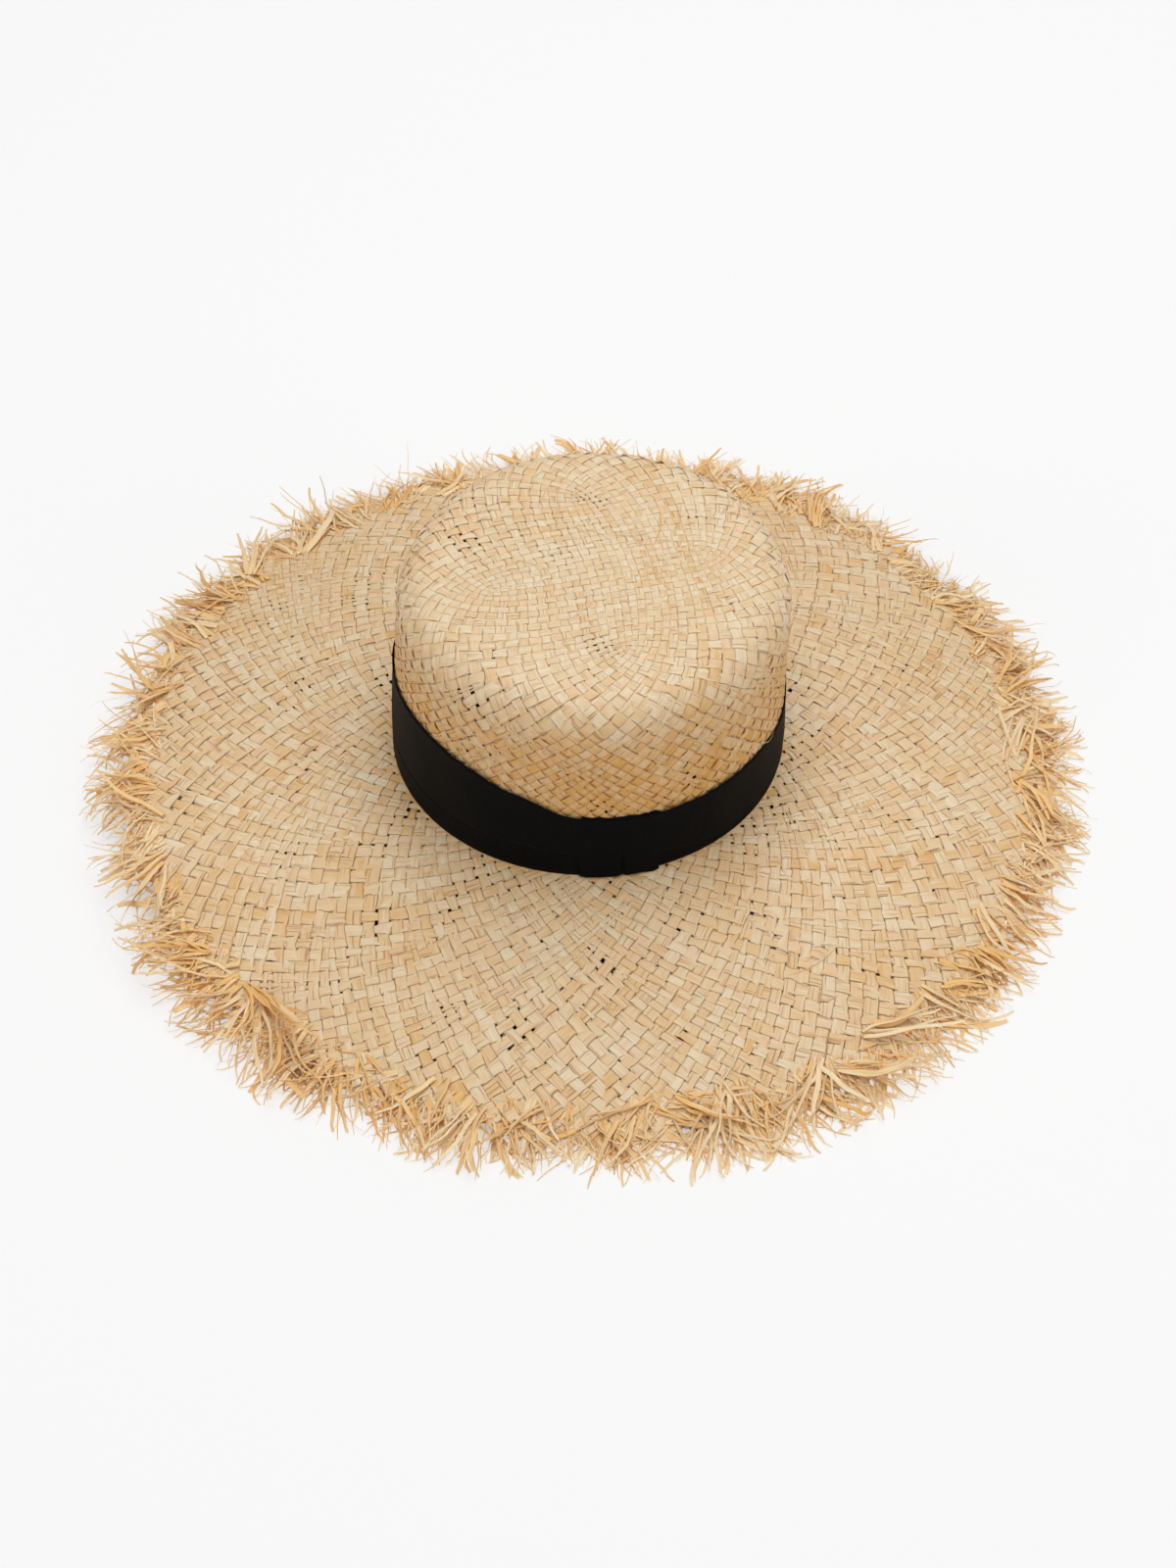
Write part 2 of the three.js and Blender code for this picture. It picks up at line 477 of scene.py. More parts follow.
# ---------------------------------------------------------------------------
# Finishes
# ---------------------------------------------------------------------------


def new_group(name: str, inputs: tuple, outputs: tuple) -> bpy.types.NodeTree:
    """Make an empty shader node group with named sockets.

    Args:
        name: Group name.
        inputs: Triples of (name, socket type, default or None).
        outputs: Pairs of (name, socket type).

    Returns:
        The node tree.
    """
    tree = bpy.data.node_groups.new(name, "ShaderNodeTree")
    for label, kind, default in inputs:
        socket = tree.interface.new_socket(label, in_out="INPUT", socket_type=kind)
        if default is not None:
            socket.default_value = default
    for label, kind in outputs:
        tree.interface.new_socket(label, in_out="OUTPUT", socket_type=kind)
    return tree


class Wiring:
    """Short ways to add and join nodes in one tree."""

    def __init__(self, tree: bpy.types.NodeTree) -> None:
        """Keep the tree."""
        self.tree = tree

    def node(self, kind: str, **settings: object) -> bpy.types.Node:
        """Add a node and set its properties."""
        made = self.tree.nodes.new(kind)
        for key, value in settings.items():
            setattr(made, key, value)
        return made

    def join(self, source: object, target: object) -> None:
        """Link a socket to a socket, or set a plain value on the target."""
        if isinstance(source, bpy.types.NodeSocket):
            self.tree.links.new(source, target)
        else:
            target.default_value = source

    def maths(self, operation: str, *values: object, clamp: bool = False) -> bpy.types.NodeSocket:
        """Return the result of a Math node."""
        made = self.node("ShaderNodeMath", operation=operation, use_clamp=clamp)
        for socket, value in zip(made.inputs, values, strict=False):
            self.join(value, socket)
        return made.outputs[0]

    def blend(self, kind: str, factor: object, a: object, b: object) -> bpy.types.NodeSocket:
        """Return the result of a colour Mix node."""
        made = self.node("ShaderNodeMix", data_type="RGBA", blend_type=kind, clamp_result=True)
        self.join(factor, made.inputs["Factor"])
        self.join(a, made.inputs[6])
        self.join(b, made.inputs[7])
        return made.outputs[2]

    def span(self, value: object, low: float, high: float, to: tuple) -> bpy.types.NodeSocket:
        """Return a value mapped from low..high to the pair in to, clamped and eased."""
        made = self.node("ShaderNodeMapRange", interpolation_type="SMOOTHSTEP")
        self.join(value, made.inputs["Value"])
        made.inputs["From Min"].default_value = low
        made.inputs["From Max"].default_value = high
        made.inputs["To Min"].default_value = to[0]
        made.inputs["To Max"].default_value = to[1]
        return made.outputs["Result"]

    def noise(self, vector: object, scale: float, detail: float, rough: float = 0.5) -> object:
        """Return the factor of a Noise Texture."""
        made = self.node("ShaderNodeTexNoise")
        self.join(vector, made.inputs["Vector"])
        made.inputs["Scale"].default_value = scale
        made.inputs["Detail"].default_value = detail
        made.inputs["Roughness"].default_value = rough
        return made.outputs["Factor"] if "Factor" in made.outputs else made.outputs[0]

    def scaled(self, vector: object, scale: tuple) -> bpy.types.NodeSocket:
        """Return a vector multiplied by a fixed vector."""
        made = self.node("ShaderNodeVectorMath", operation="MULTIPLY")
        self.join(vector, made.inputs[0])
        made.inputs[1].default_value = scale
        return made.outputs[0]


def raffia_group() -> bpy.types.NodeTree:
    """Build the shared raffia effect: streaked colour, gloss and grain of a leaf strip.

    Strand is (across -1..1, along in metres, number of the strip). Tint runs from pale to
    tan. Streaks are noise stretched along the strip and a few lines are browner; the edges
    are browner as painted shade in the joints between strips.
    """
    tree = new_group(
        "Raffia leaf",
        (
            ("Strand", "NodeSocketVector", None),
            ("Tint", "NodeSocketFloat", 0.5),
            ("Pale", "NodeSocketColor", (0.8, 0.62, 0.4, 1.0)),
            ("Tan", "NodeSocketColor", (0.62, 0.4, 0.2, 1.0)),
            ("Rose", "NodeSocketColor", (0.75, 0.5, 0.32, 1.0)),
            ("Brown", "NodeSocketColor", (0.36, 0.17, 0.06, 1.0)),
        ),
        (
            ("Color", "NodeSocketColor"),
            ("Roughness", "NodeSocketFloat"),
            ("Height", "NodeSocketFloat"),
        ),
    )
    w = Wiring(tree)
    given = w.node("NodeGroupInput")
    out = w.node("NodeGroupOutput")
    strand = given.outputs["Strand"]
    fine = w.noise(w.scaled(strand, (7.0, 90.0, 7.31)), 1.0, 3.0, 0.65)
    broad = w.noise(w.scaled(strand, (1.3, 60.0, 3.17)), 1.0, 2.0)
    line = w.noise(w.scaled(strand, (3.6, 34.0, 5.77)), 1.0, 1.0)
    warmth = w.noise(w.scaled(strand, (0.7, 22.0, 11.3)), 1.0, 1.0)
    tint = w.maths("ADD", given.outputs["Tint"], w.span(broad, 0.3, 0.7, (-0.16, 0.16)), clamp=True)
    base = w.blend("MIX", tint, given.outputs["Pale"], given.outputs["Tan"])
    base = w.blend("MIX", w.span(warmth, 0.5, 0.68, (0.0, 0.42)), base, given.outputs["Rose"])
    streak = w.span(fine, 0.35, 0.7, (0.0, 0.45))
    base = w.blend("MIX", streak, base, given.outputs["Tan"])
    split = w.node("ShaderNodeSeparateXYZ")
    w.join(strand, split.inputs[0])
    # Painted shade: strip edges are browned in broken runs, more where the tint is deeper, for the
    # shade between strips.
    rim = w.span(w.maths("ABSOLUTE", split.outputs[0]), 0.74, 1.0, (0.0, 1.0))
    broken = w.span(w.noise(w.scaled(strand, (1.2, 130.0, 9.1)), 1.0, 1.0), 0.36, 0.62, (0.2, 1.0))
    edge = w.maths("MULTIPLY", rim, w.maths("MULTIPLY_ADD", tint, 0.75, 0.26))
    edge = w.maths("MULTIPLY", edge, broken)
    dark = w.span(line, 0.63, 0.70, (0.0, 0.62))
    brown = w.maths("MAXIMUM", edge, dark)
    w.join(w.blend("MIX", brown, base, given.outputs["Brown"]), out.inputs["Color"])
    w.join(w.span(fine, 0.2, 0.8, (0.42, 0.66)), out.inputs["Roughness"])
    w.join(fine, out.inputs["Height"])
    return tree


def cloth_group() -> bpy.types.NodeTree:
    """Build the shared ribbed cloth effect.

    Cloth is (distance along, distance across) in metres; ribs run across the tape. The rib
    profile is |sin(pi x / pitch)| and the threads over it are |sin(pi y / thread)|.
    """
    tree = new_group(
        "Ribbed cloth",
        (
            ("Cloth", "NodeSocketVector", None),
            ("Rib pitch", "NodeSocketFloat", 0.0009),
            ("Thread pitch", "NodeSocketFloat", 0.0005),
            ("Yarn", "NodeSocketColor", (0.5, 0.5, 0.5, 1.0)),
            ("Groove", "NodeSocketColor", (0.2, 0.2, 0.2, 1.0)),
        ),
        (("Color", "NodeSocketColor"), ("Height", "NodeSocketFloat")),
    )
    w = Wiring(tree)
    given = w.node("NodeGroupInput")
    out = w.node("NodeGroupOutput")
    split = w.node("ShaderNodeSeparateXYZ")
    w.join(given.outputs["Cloth"], split.inputs[0])

    def ridges(distance: object, pitch: object) -> bpy.types.NodeSocket:
        """Return |sin(pi distance / pitch)|."""
        turns = w.maths("MULTIPLY", w.maths("DIVIDE", distance, pitch), math.pi)
        return w.maths("ABSOLUTE", w.maths("SINE", turns))

    rib = ridges(split.outputs[0], given.outputs["Rib pitch"])
    thread = ridges(split.outputs[1], given.outputs["Thread pitch"])
    height = w.maths("ADD", w.maths("MULTIPLY", rib, 0.7), w.maths("MULTIPLY", thread, 0.3))
    lint = w.noise(w.scaled(given.outputs["Cloth"], (900.0, 900.0, 1.0)), 1.0, 2.0)
    # Painted shade: the low parts of ribs and threads take the darker Groove colour, the high parts the
    # Yarn colour.
    shade = w.maths("ADD", height, w.span(lint, 0.3, 0.7, (-0.2, 0.2)), clamp=True)
    w.join(w.blend("MIX", shade, given.outputs["Groove"], given.outputs["Yarn"]), out.inputs["Color"])
    w.join(height, out.inputs["Height"])
    return tree


@dataclass(frozen=True)
class RaffiaFinish:
    """Natural raffia: pale, tan and brown of the leaf, and its faint silk gloss."""

    name: str
    pale: tuple
    tan: tuple
    rose: tuple
    brown: tuple
    grain: float = 0.00012
    specular: float = 0.5
    sheen: float = 0.0

    def make(self, group: bpy.types.NodeTree) -> bpy.types.Material:
        """Return the material, reading the strips' own strand and tint attributes."""
        made = bpy.data.materials.new(self.name)
        made.use_nodes = True
        w = Wiring(made.node_tree)
        shader = made.node_tree.nodes["Principled BSDF"]
        strand = w.node("ShaderNodeAttribute", attribute_name="strand")
        tint = w.node("ShaderNodeAttribute", attribute_name="tint")
        leaf = w.node("ShaderNodeGroup", node_tree=group)
        w.join(strand.outputs["Vector"], leaf.inputs["Strand"])
        w.join(tint.outputs["Fac"], leaf.inputs["Tint"])
        colours = (self.pale, self.tan, self.rose, self.brown)
        for label, colour in zip(("Pale", "Tan", "Rose", "Brown"), colours, strict=True):
            leaf.inputs[label].default_value = (*colour, 1.0)
        w.join(leaf.outputs["Color"], shader.inputs["Base Color"])
        w.join(leaf.outputs["Roughness"], shader.inputs["Roughness"])
        bump = w.node("ShaderNodeBump")
        bump.inputs["Distance"].default_value = self.grain
        w.join(leaf.outputs["Height"], bump.inputs["Height"])
        w.join(bump.outputs["Normal"], shader.inputs["Normal"])
        shader.inputs["Specular IOR Level"].default_value = self.specular
        shader.inputs["Sheen Weight"].default_value = self.sheen
        shader.inputs["Sheen Roughness"].default_value = 0.4
        shader.inputs["Sheen Tint"].default_value = (1.0, 0.80, 0.55, 1.0)
        return made


@dataclass(frozen=True)
class ClothFinish:
    """Ribbed tape or ribbon."""

    name: str
    yarn: tuple
    groove: tuple
    roughness: float
    rib_pitch: float
    thread_pitch: float
    relief: float = 0.00012
    sheen: float = 0.0
    specular: float = 0.3

    def make(self, group: bpy.types.NodeTree) -> bpy.types.Material:
        """Return the material, reading the piece's own cloth attribute."""
        made = bpy.data.materials.new(self.name)
        made.use_nodes = True
        w = Wiring(made.node_tree)
        shader = made.node_tree.nodes["Principled BSDF"]
        cloth = w.node("ShaderNodeAttribute", attribute_name="cloth")
        tape = w.node("ShaderNodeGroup", node_tree=group)
        w.join(cloth.outputs["Vector"], tape.inputs["Cloth"])
        tape.inputs["Rib pitch"].default_value = self.rib_pitch
        tape.inputs["Thread pitch"].default_value = self.thread_pitch
        tape.inputs["Yarn"].default_value = (*self.yarn, 1.0)
        tape.inputs["Groove"].default_value = (*self.groove, 1.0)
        w.join(tape.outputs["Color"], shader.inputs["Base Color"])
        bump = w.node("ShaderNodeBump")
        bump.inputs["Distance"].default_value = self.relief
        w.join(tape.outputs["Height"], bump.inputs["Height"])
        w.join(bump.outputs["Normal"], shader.inputs["Normal"])
        shader.inputs["Roughness"].default_value = self.roughness
        shader.inputs["Specular IOR Level"].default_value = self.specular
        shader.inputs["Sheen Weight"].default_value = self.sheen
        shader.inputs["Sheen Roughness"].default_value = 0.5
        return made


def dress(piece: bpy.types.Object, material: bpy.types.Material, slot: Slot, *nodes: str) -> None:
    """Give a piece its material and body, and hide the CAD nodes it stands for."""
    piece.data.materials.append(material)
    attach(piece, "root")
    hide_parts(*nodes)
    LOG.info("%s: %d faces", piece.name, len(piece.data.polygons))


# ---------------------------------------------------------------------------
# Woven straw
# ---------------------------------------------------------------------------


@dataclass
class TipMap:
    """Conformal map that turns a square weave at the tip into two spiral families.

    A lattice point F and its place z in the plane obey dz/dF = (1 - (z/a)^4)^(1/4). Near
    the centre this is a plain square weave; beyond the four corner points on |z| = a its
    two directions run at plus and minus 45 degrees to the radius.
    """

    corner_radius: float = 52.0
    quarter_strips: int = 15
    steps_per_cell: int = 8
    turn_deg: float = 13.0
    shift: tuple = (8.0, -1.5)
    shift_reach: float = 76.0

    @property
    def strips(self) -> int:
        """Number of strips in each family where the spirals begin."""
        return 4 * self.quarter_strips

    @property
    def cell(self) -> float:
        """Width of a lattice cell at the centre: a 2 pi / (sqrt(2) n)."""
        return self.corner_radius * FULL_TURN / (math.sqrt(2.0) * self.strips)

    def pace(self, z: np.ndarray, near: np.ndarray) -> np.ndarray:
        """Return (1 - (z/a)^4)^(1/4) on the branch closest to near."""
        root = (1.0 - (z / self.corner_radius) ** 4) ** 0.25
        turns = np.array([1, 1j, -1, -1j])
        options = root[..., None] * turns
        best = np.argmax((options * np.conj(near)[..., None]).real, axis=-1)
        return np.take_along_axis(options, best[..., None], axis=-1)[..., 0]

    def march(self, z: np.ndarray, heading: complex, size: float, steps: int) -> tuple:
        """Integrate dz = heading * pace(z) dF by fourth-order Runge-Kutta.

        Args:
            z: Starting points.
            heading: 1 along rising Re F, 1j along rising Im F.
            size: Step of F.
            steps: Number of steps.

        Returns:
            Points and paces, each (steps + 1, len(z)).
        """
        near = self.pace(z.astype(complex), np.ones(len(z), complex))
        line, paces = [z.astype(complex)], [near]
        for _ in range(steps):
            here = line[-1]
            k1 = self.pace(here, near)
            k2 = self.pace(here + 0.5 * size * heading * k1, k1)
            k3 = self.pace(here + 0.5 * size * heading * k2, k2)
            k4 = self.pace(here + size * heading * k3, k3)
            line.append(here + size * heading * (k1 + 2 * k2 + 2 * k3 + k4) / 6.0)
            near = self.pace(line[-1], k4)
            paces.append(near)
        return np.array(line), np.array(paces)

    def quarter(self, far_log: float) -> tuple:
        """Trace the strips of one quarter from the axis to beyond the rim.

        Args:
            far_log: Natural logarithm of the plane radius to reach.

        Returns:
            Lattice distance (steps,), places (strips, steps), paces (strips, steps).
        """
        size = self.cell / self.steps_per_cell
        axis, _ = self.march(np.zeros(1), 1j, size / 4.0, 4 * self.steps_per_cell * self.quarter_strips)
        middle = (np.arange(self.quarter_strips) + 0.5) * self.cell
        starts = axis[np.round(middle / (size / 4.0)).astype(int), 0]
        grow = far_log - math.log(self.corner_radius)
        length = self.corner_radius * (1.25 + math.sqrt(2.0) * (grow + 0.4))
        steps = int(length / size)
        line, paces = self.march(starts, 1.0, size, steps)
        return np.arange(steps + 1) * size, line.T, paces.T

    def warped(self, z: np.ndarray) -> np.ndarray:
        """Turn the lattice and slide its middle sideways, fading to nothing outwards."""
        z = z * np.exp(1j * math.radians(self.turn_deg))
        fade = np.clip(1.0 - (np.abs(z) / self.shift_reach) ** 2, 0.0, None) ** 2
        return z + complex(*self.shift) * fade


@dataclass
class Weave:
    """Two families of raffia strips over the whole middle surface."""

    form: HatForm
    tip: TipMap = field(default_factory=TipMap)
    join_radius: float = 78.0
    cell_radii: tuple = (60.0, 78.0, 84.0, 92.0, 100.0, 130.0, 160.0, 190.0, 220.0)
    cell_widths: tuple = (5.9, 5.75, 5.45, 5.3, 5.2, 5.3, 5.5, 5.75, 6.0)
    grow_length: float = 34.0
    first_share: float = 0.35
    spreading: float = 0.16
    rows_per_cell: int = 4
    relief_stops: tuple = (0.0, 78.0, 95.0, 125.0, 190.0, 205.0, 330.0)
    relief: tuple = (0.15, 0.18, 0.40, 0.60, 0.54, 0.20, 0.17)
    # Tint along s holds painted light and shade: the crown's top paler and the wall deeper and more
    # orange than the brim.
    tint_stops: tuple = (0.0, 85.0, 112.0, 185.0, 200.0, 225.0, 330.0)
    tint: tuple = (0.20, 0.23, 0.66, 0.96, 0.36, 0.30, 0.33)
    half_thick: tuple = (0.08, 0.09, 0.14, 0.19, 0.19, 0.085, 0.08)
    fullness: tuple = (1.025, 1.025, 0.99, 0.955, 0.955, 1.01, 1.02)
    tint_spread: float = 0.10
    odd_share: float = 0.04
    odd_tint: float = 0.22
    seed: int = 20

    def __post_init__(self) -> None:
        """Lay out rows, births of added strips and the angles of every strip."""
        form, tip = self.form, self.tip
        self.rng = np.random.default_rng(self.seed)
        self.s_join = float(form.s_at_plane(np.array([self.join_radius]))[0])
        wall = (form.height > form.headline + 3.5) & (form.radius > 80.0)
        self.s_headline = float(form.s[np.nonzero(wall)[0][-1]])
        self.s_rim = float(np.interp(form.brim_radius, form.radius[-420:], form.s[-420:]))
        self.s_end = self.s_rim + 7.0
        self.rows = self._rows()
        births = self._births()
        self.total = len(births)
        self.lattice, self.places, self.paces = tip.quarter(float(form.log_plane[-1]))
        self.angles, self.weights, self.births = {}, {}, {}
        for hand in Hand:
            order = self._order(births)
            self.births[hand] = order
            self.angles[hand], self.weights[hand] = self._angles(hand, order)

    def _wanted(self, s: np.ndarray) -> np.ndarray:
        """Return how many strips a family needs: 2 pi r / (sqrt(2) w(r))."""
        r = np.interp(s, self.form.s, self.form.radius)
        far = np.where(s > self.s_headline - 40.0, r, np.minimum(r, 92.0))
        width = np.interp(far, self.cell_radii, self.cell_widths)
        return np.maximum(FULL_TURN * r / (math.sqrt(2.0) * width), self.tip.strips)

    def _rows(self) -> np.ndarray:
        """Return row places along s, closer where strips cross more often."""
        fine = np.arange(self.s_join, self.s_end, 0.1)
        r = np.interp(fine, self.form.s, self.form.radius)
        step = math.pi * r / (self._wanted(fine) * self.rows_per_cell)
        count = np.concatenate([[0.0], np.cumsum(0.1 / step)[:-1]])
        rows = int(count[-1])
        return np.interp(np.arange(rows + 1) * count[-1] / rows, count, fine)

    def _births(self) -> np.ndarray:
        """Return s where each strip beyond the first ones begins, two at a time."""
        fine = np.arange(self.s_join + 2.0, self.s_rim - 12.0, 0.25)
        wanted = np.maximum.accumulate(self._wanted(fine))
        pairs = int((wanted[-1] - self.tip.strips) / 2.0)
        mark = self.tip.strips + 2.0 * np.arange(pairs) + 0.5
        added = np.interp(mark, wanted + np.arange(len(fine)) * 1e-6, fine)
        return np.concatenate([np.full(self.tip.strips, -1e6), np.repeat(added, 2)])

    def _order(self, births: np.ndarray) -> np.ndarray:
        """Slip each new pair in between two strips, well away from recent ones."""
        order = list(births[: self.tip.strips])
        spot = self.rng.uniform()
        for birth in births[self.tip.strips :: 2]:
            spot = (spot + 0.618034 + self.rng.uniform(-0.04, 0.04)) % 1.0
            place = int(spot * len(order))
            order[place:place] = [birth, birth]
        return np.array(order)

    def _places(self, order: np.ndarray) -> tuple:
        """March the strips' edges outwards while added strips push their neighbours apart.

        Each strip wants a width w, in cells, that grows from a first share to 1, and has a
        width g. The edge between two strips moves by D ((w - g) of the one before less
        (w - g) of the one after) cells for each millimetre.

        Args:
            order: s where each strip begins, in order round the crown.

        Returns:
            Place of each strip's middle and its width, (strips, rows), in first cells.
        """
        rows, base = self.rows, float(self.tip.strips)
        step = 0.4
        count = int((rows[-1] - rows[0]) / step) + 2
        fine = rows[0] + step * np.arange(count)
        old = order < 0.0
        edge = np.cumsum(old).astype(float) - 0.5
        edge[~old] += 1e-3 * np.cumsum(~old)[~old] / len(order)
        middles, widths = np.empty((count, len(order))), np.empty((count, len(order)))
        for i, s in enumerate(fine):
            before = np.concatenate([[edge[-1] - base], edge[:-1]])
            share = self.first_share + (1.0 - self.first_share) * smooth_step(
                (s - order) / self.grow_length
            )
            want = np.where(s >= order, share, 0.0)
            unit_cell = base / want.sum()
            gap = edge - before
            middles[i], widths[i] = 0.5 * (edge + before), gap
            push = np.where(s >= order, want - gap / unit_cell, np.nan)
            live = np.nonzero(s >= order)[0]
            after = live[(np.arange(len(live)) + 1) % len(live)]
            move = np.zeros(len(order))
            move[live] = self.spreading * step * unit_cell * (push[live] - push[after])
            asleep = np.nonzero(s < order)[0]
            if len(asleep):
                lower = live[np.searchsorted(live, asleep) - 1]
                move[asleep] = move[lower]
            edge = edge + move
        place = np.stack([np.interp(rows, fine, line) for line in middles.T])
        width = np.stack([np.interp(rows, fine, line) for line in widths.T])
        return place, np.maximum(width, 0.0)

    def _angles(self, hand: Hand, order: np.ndarray) -> tuple:
        """Return the angle of every strip and the angle it fills at every row.

        A strip at place x stands at 2 pi x / n plus the swirl of the traced strips, which
        is interpolated between whole places.
        """
        rows = self.rows
        base = self.tip.strips
        x, width = self._places(order)
        log_rows = np.interp(rows, self.form.s, self.form.log_plane)
        logs = np.log(np.abs(self.places))
        turn = np.unwrap(np.angle(self.places), axis=1)
        traced = np.stack([
            np.interp(log_rows, logs[i, 40:], turn[i, 40:]) for i in range(len(turn))
        ])
        if hand is Hand.ANTICLOCKWISE:
            traced = -traced[::-1]
        quarters = np.arange(4)[:, None, None] * QUARTER_TURN
        whole = (traced[None] + quarters).reshape(base, -1)
        offset = whole - FULL_TURN * np.arange(base)[:, None] / base
        low = np.floor(x).astype(int)
        part = x - low
        column = np.arange(len(rows))[None, :]
        wobble = (
            offset[low % base, column] * (1.0 - part)
            + offset[(low + 1) % base, column] * part
        )
        angle = FULL_TURN * x / base + wobble + math.radians(self.tip.turn_deg)
        return angle, FULL_TURN * width / base

    def phase(self, hand: Hand, angle: np.ndarray) -> np.ndarray:
        """Return the running number of the other family's strip at given angles.

        Args:
            hand: The family whose strips are counted.
            angle: Angles (strips, rows) at the weave's rows.

        Returns:
            Numbers with fractions, (strips, rows).
        """
        own = self.angles[hand]
        count, rows = own.shape
        start = own[0]
        own_turn = own - start
        ask = (angle - start) % FULL_TURN
        ladder = np.concatenate([own_turn[-1:] - FULL_TURN, own_turn, own_turn[:1] + FULL_TURN])
        numbers = np.concatenate([[-1], np.arange(count), [count]]).astype(float)
        shift = 20.0 * np.arange(rows)
        keys = np.maximum.accumulate((ladder + shift).T.ravel())
        values = np.tile(numbers, rows)
        return np.interp((ask + shift).ravel(), keys, values).reshape(angle.shape)

    def outer(self, hand: Hand) -> dict:
        """Return centre lines of one family over the shoulder, wall and brim.

        Height over the middle surface is -/+ relief * cos(pi (number of the other strip -
        own number)), so each strip goes over and under in turn.
        """
        angle, weight = self.angles[hand], self.weights[hand]
        other = Hand.CLOCKWISE if hand is Hand.ANTICLOCKWISE else Hand.ANTICLOCKWISE
        number = np.arange(self.total)[:, None]
        beat = np.cos(math.pi * (self.phase(other, angle) - number))
        sign = -1.0 if hand is Hand.CLOCKWISE else 1.0
        s = np.broadcast_to(self.rows, angle.shape)
        r = np.interp(self.rows, self.form.s, self.form.radius)
        lean = r * np.gradient(angle, self.rows, axis=1)
        cosine = 1.0 / np.sqrt(1.0 + lean**2)
        crowd = (weight > 0.0).sum(axis=0)
        return {
            "s": s,
            "angle": angle,
            "beat": sign * beat,
            "weight": np.minimum(weight * crowd / FULL_TURN, 1.0),
            "half_width": 0.5 * weight * r * cosine,
        }

    def inner(self, hand: Hand, rows: int) -> dict:
        """Return centre lines of one family from the tip's middle to the join.

        Args:
            hand: The family.
            rows: Rows used for each strip.
        """
        tip = self.tip
        far = np.abs(self.places)
        stop = np.array([
            np.interp(math.log(self.join_radius), np.log(line[40:]), self.lattice[40:])
            for line in far
        ])
        ask = stop[:, None] * np.linspace(0.0, 1.0, rows)
        real = np.stack([np.interp(a, self.lattice, p.real) for a, p in zip(ask, self.places)])
        imag = np.stack([np.interp(a, self.lattice, p.imag) for a, p in zip(ask, self.places)])
        pace = np.stack([np.interp(a, self.lattice, np.abs(p)) for a, p in zip(ask, self.paces)])
        place = real + 1j * imag
        own = np.arange(1, tip.quarter_strips + 1)
        if hand is Hand.ANTICLOCKWISE:
            place, pace, ask, own = np.conj(place)[::-1], pace[::-1], ask[::-1], own[::-1]
        spin = 1j ** np.arange(4)
        place = (place[None] * spin[:, None, None]).reshape(tip.strips, rows)
        pace = np.tile(pace, (4, 1))
        ask = np.tile(ask, (4, 1))
        own = np.tile(own, 4)
        sign = -1.0 if hand is Hand.CLOCKWISE else 1.0
        beat = sign * (-1.0) ** own[:, None] * np.sin(math.pi * ask / tip.cell)
        moved = tip.warped(place)
        s = self.form.s_at_plane(np.abs(moved))
        r = np.interp(s, self.form.s, self.form.radius)
        stretch = r / np.maximum(np.abs(moved), 1.0)
        return {
            "s": s,
            "angle": np.angle(moved),
            "beat": beat,
            "half_width": 0.5 * tip.cell * pace * np.where(s < 4.0, 1.0, stretch),
        }

    def looseness(self, s: np.ndarray, angle: np.ndarray) -> np.ndarray:
        """Return how much narrower strips are where the weave is a little open.

        The value is 0.22 max(0, W - 0.5) with W the sum of five plane waves, so openings
        come in patches, and up to 0.13 more in the bend where the brim leaves the crown.
        """
        r = np.interp(s, self.form.s, self.form.radius)
        x, y = s / np.maximum(r, 1.0) * r * np.cos(angle), s * np.sin(angle)
        total = np.zeros(s.shape)
        rng = np.random.default_rng(self.seed + 7)
        for length in (23.0, 31.0, 44.0, 61.0, 90.0):
            turn, phase = rng.uniform(0.0, FULL_TURN, 2)
            total += 0.42 * np.sin(
                FULL_TURN * (x * math.cos(turn) + y * math.sin(turn)) / length + phase
            )
        root = s - self.s_headline
        near = smooth_step((root + 4.0) / 6.0) * smooth_step((34.0 - root) / 16.0)
        return 0.22 * np.clip(total - 0.5, 0.0, 1.0) + 0.13 * near * np.clip(0.6 + total, 0.0, 1.0)

    def lay(self, line: dict) -> tuple:
        """Turn centre lines into swept strips, with the small faults of handwork.

        Args:
            line: Arrays by name: s, angle, beat, weight, half_width, along and droop are
                (strips, rows); ident, first and last are (strips,).

        Returns:
            Points, quads and attributes for quad_mesh.
        """
        s, angle, along, ident = line["s"], line["angle"], line["along"], line["ident"]
        fill = np.interp(s, self.relief_stops, self.fullness) * (0.96 + 0.08 * chance(ident, 1))
        fill = fill * (1.0 + strip_wave(ident, 2, along, ((0.025, 9.0), (0.03, 31.0))))
        nick = strip_wave(ident, 12, along, ((1.0, 11.0), (0.8, 27.0)))
        nick = 0.20 * np.clip((nick - 1.05) / 0.45, 0.0, 1.0)
        fill = fill * (1.0 - self.looseness(s, angle) - nick)
        drift = strip_wave(ident, 3, along, ((0.10, 14.0), (0.14, 37.0)))
        drift = drift * np.minimum(1.0, line["half_width"] / 2.4)
        r = np.interp(s, self.form.s, self.form.radius)
        angle = angle + drift / np.maximum(r, 12.0)
        loud = (0.85 + 0.3 * chance(ident, 4)) * np.minimum(1.0, line["weight"] + 0.25)
        points, normals = self.form.skin(s, angle)
        rise = np.interp(s, self.relief_stops, self.relief) * loud * line["beat"] + line["droop"]
        points = self.form.settle(points + normals * rise[..., None])
        tilt = strip_wave(ident, 5, along, ((0.030, 8.0), (0.040, 17.0)))
        sweep = StripSection()
        thick = np.interp(s, self.relief_stops, self.half_thick)
        half_thick = thick * (0.8 + 0.35 * chance(ident, 6))
        mesh_points, quads, across = sweep.sweep(
            points, normals, line["half_width"] * fill, half_thick, tilt,
            line["first"], line["last"],
        )
        sides = len(sweep.across)
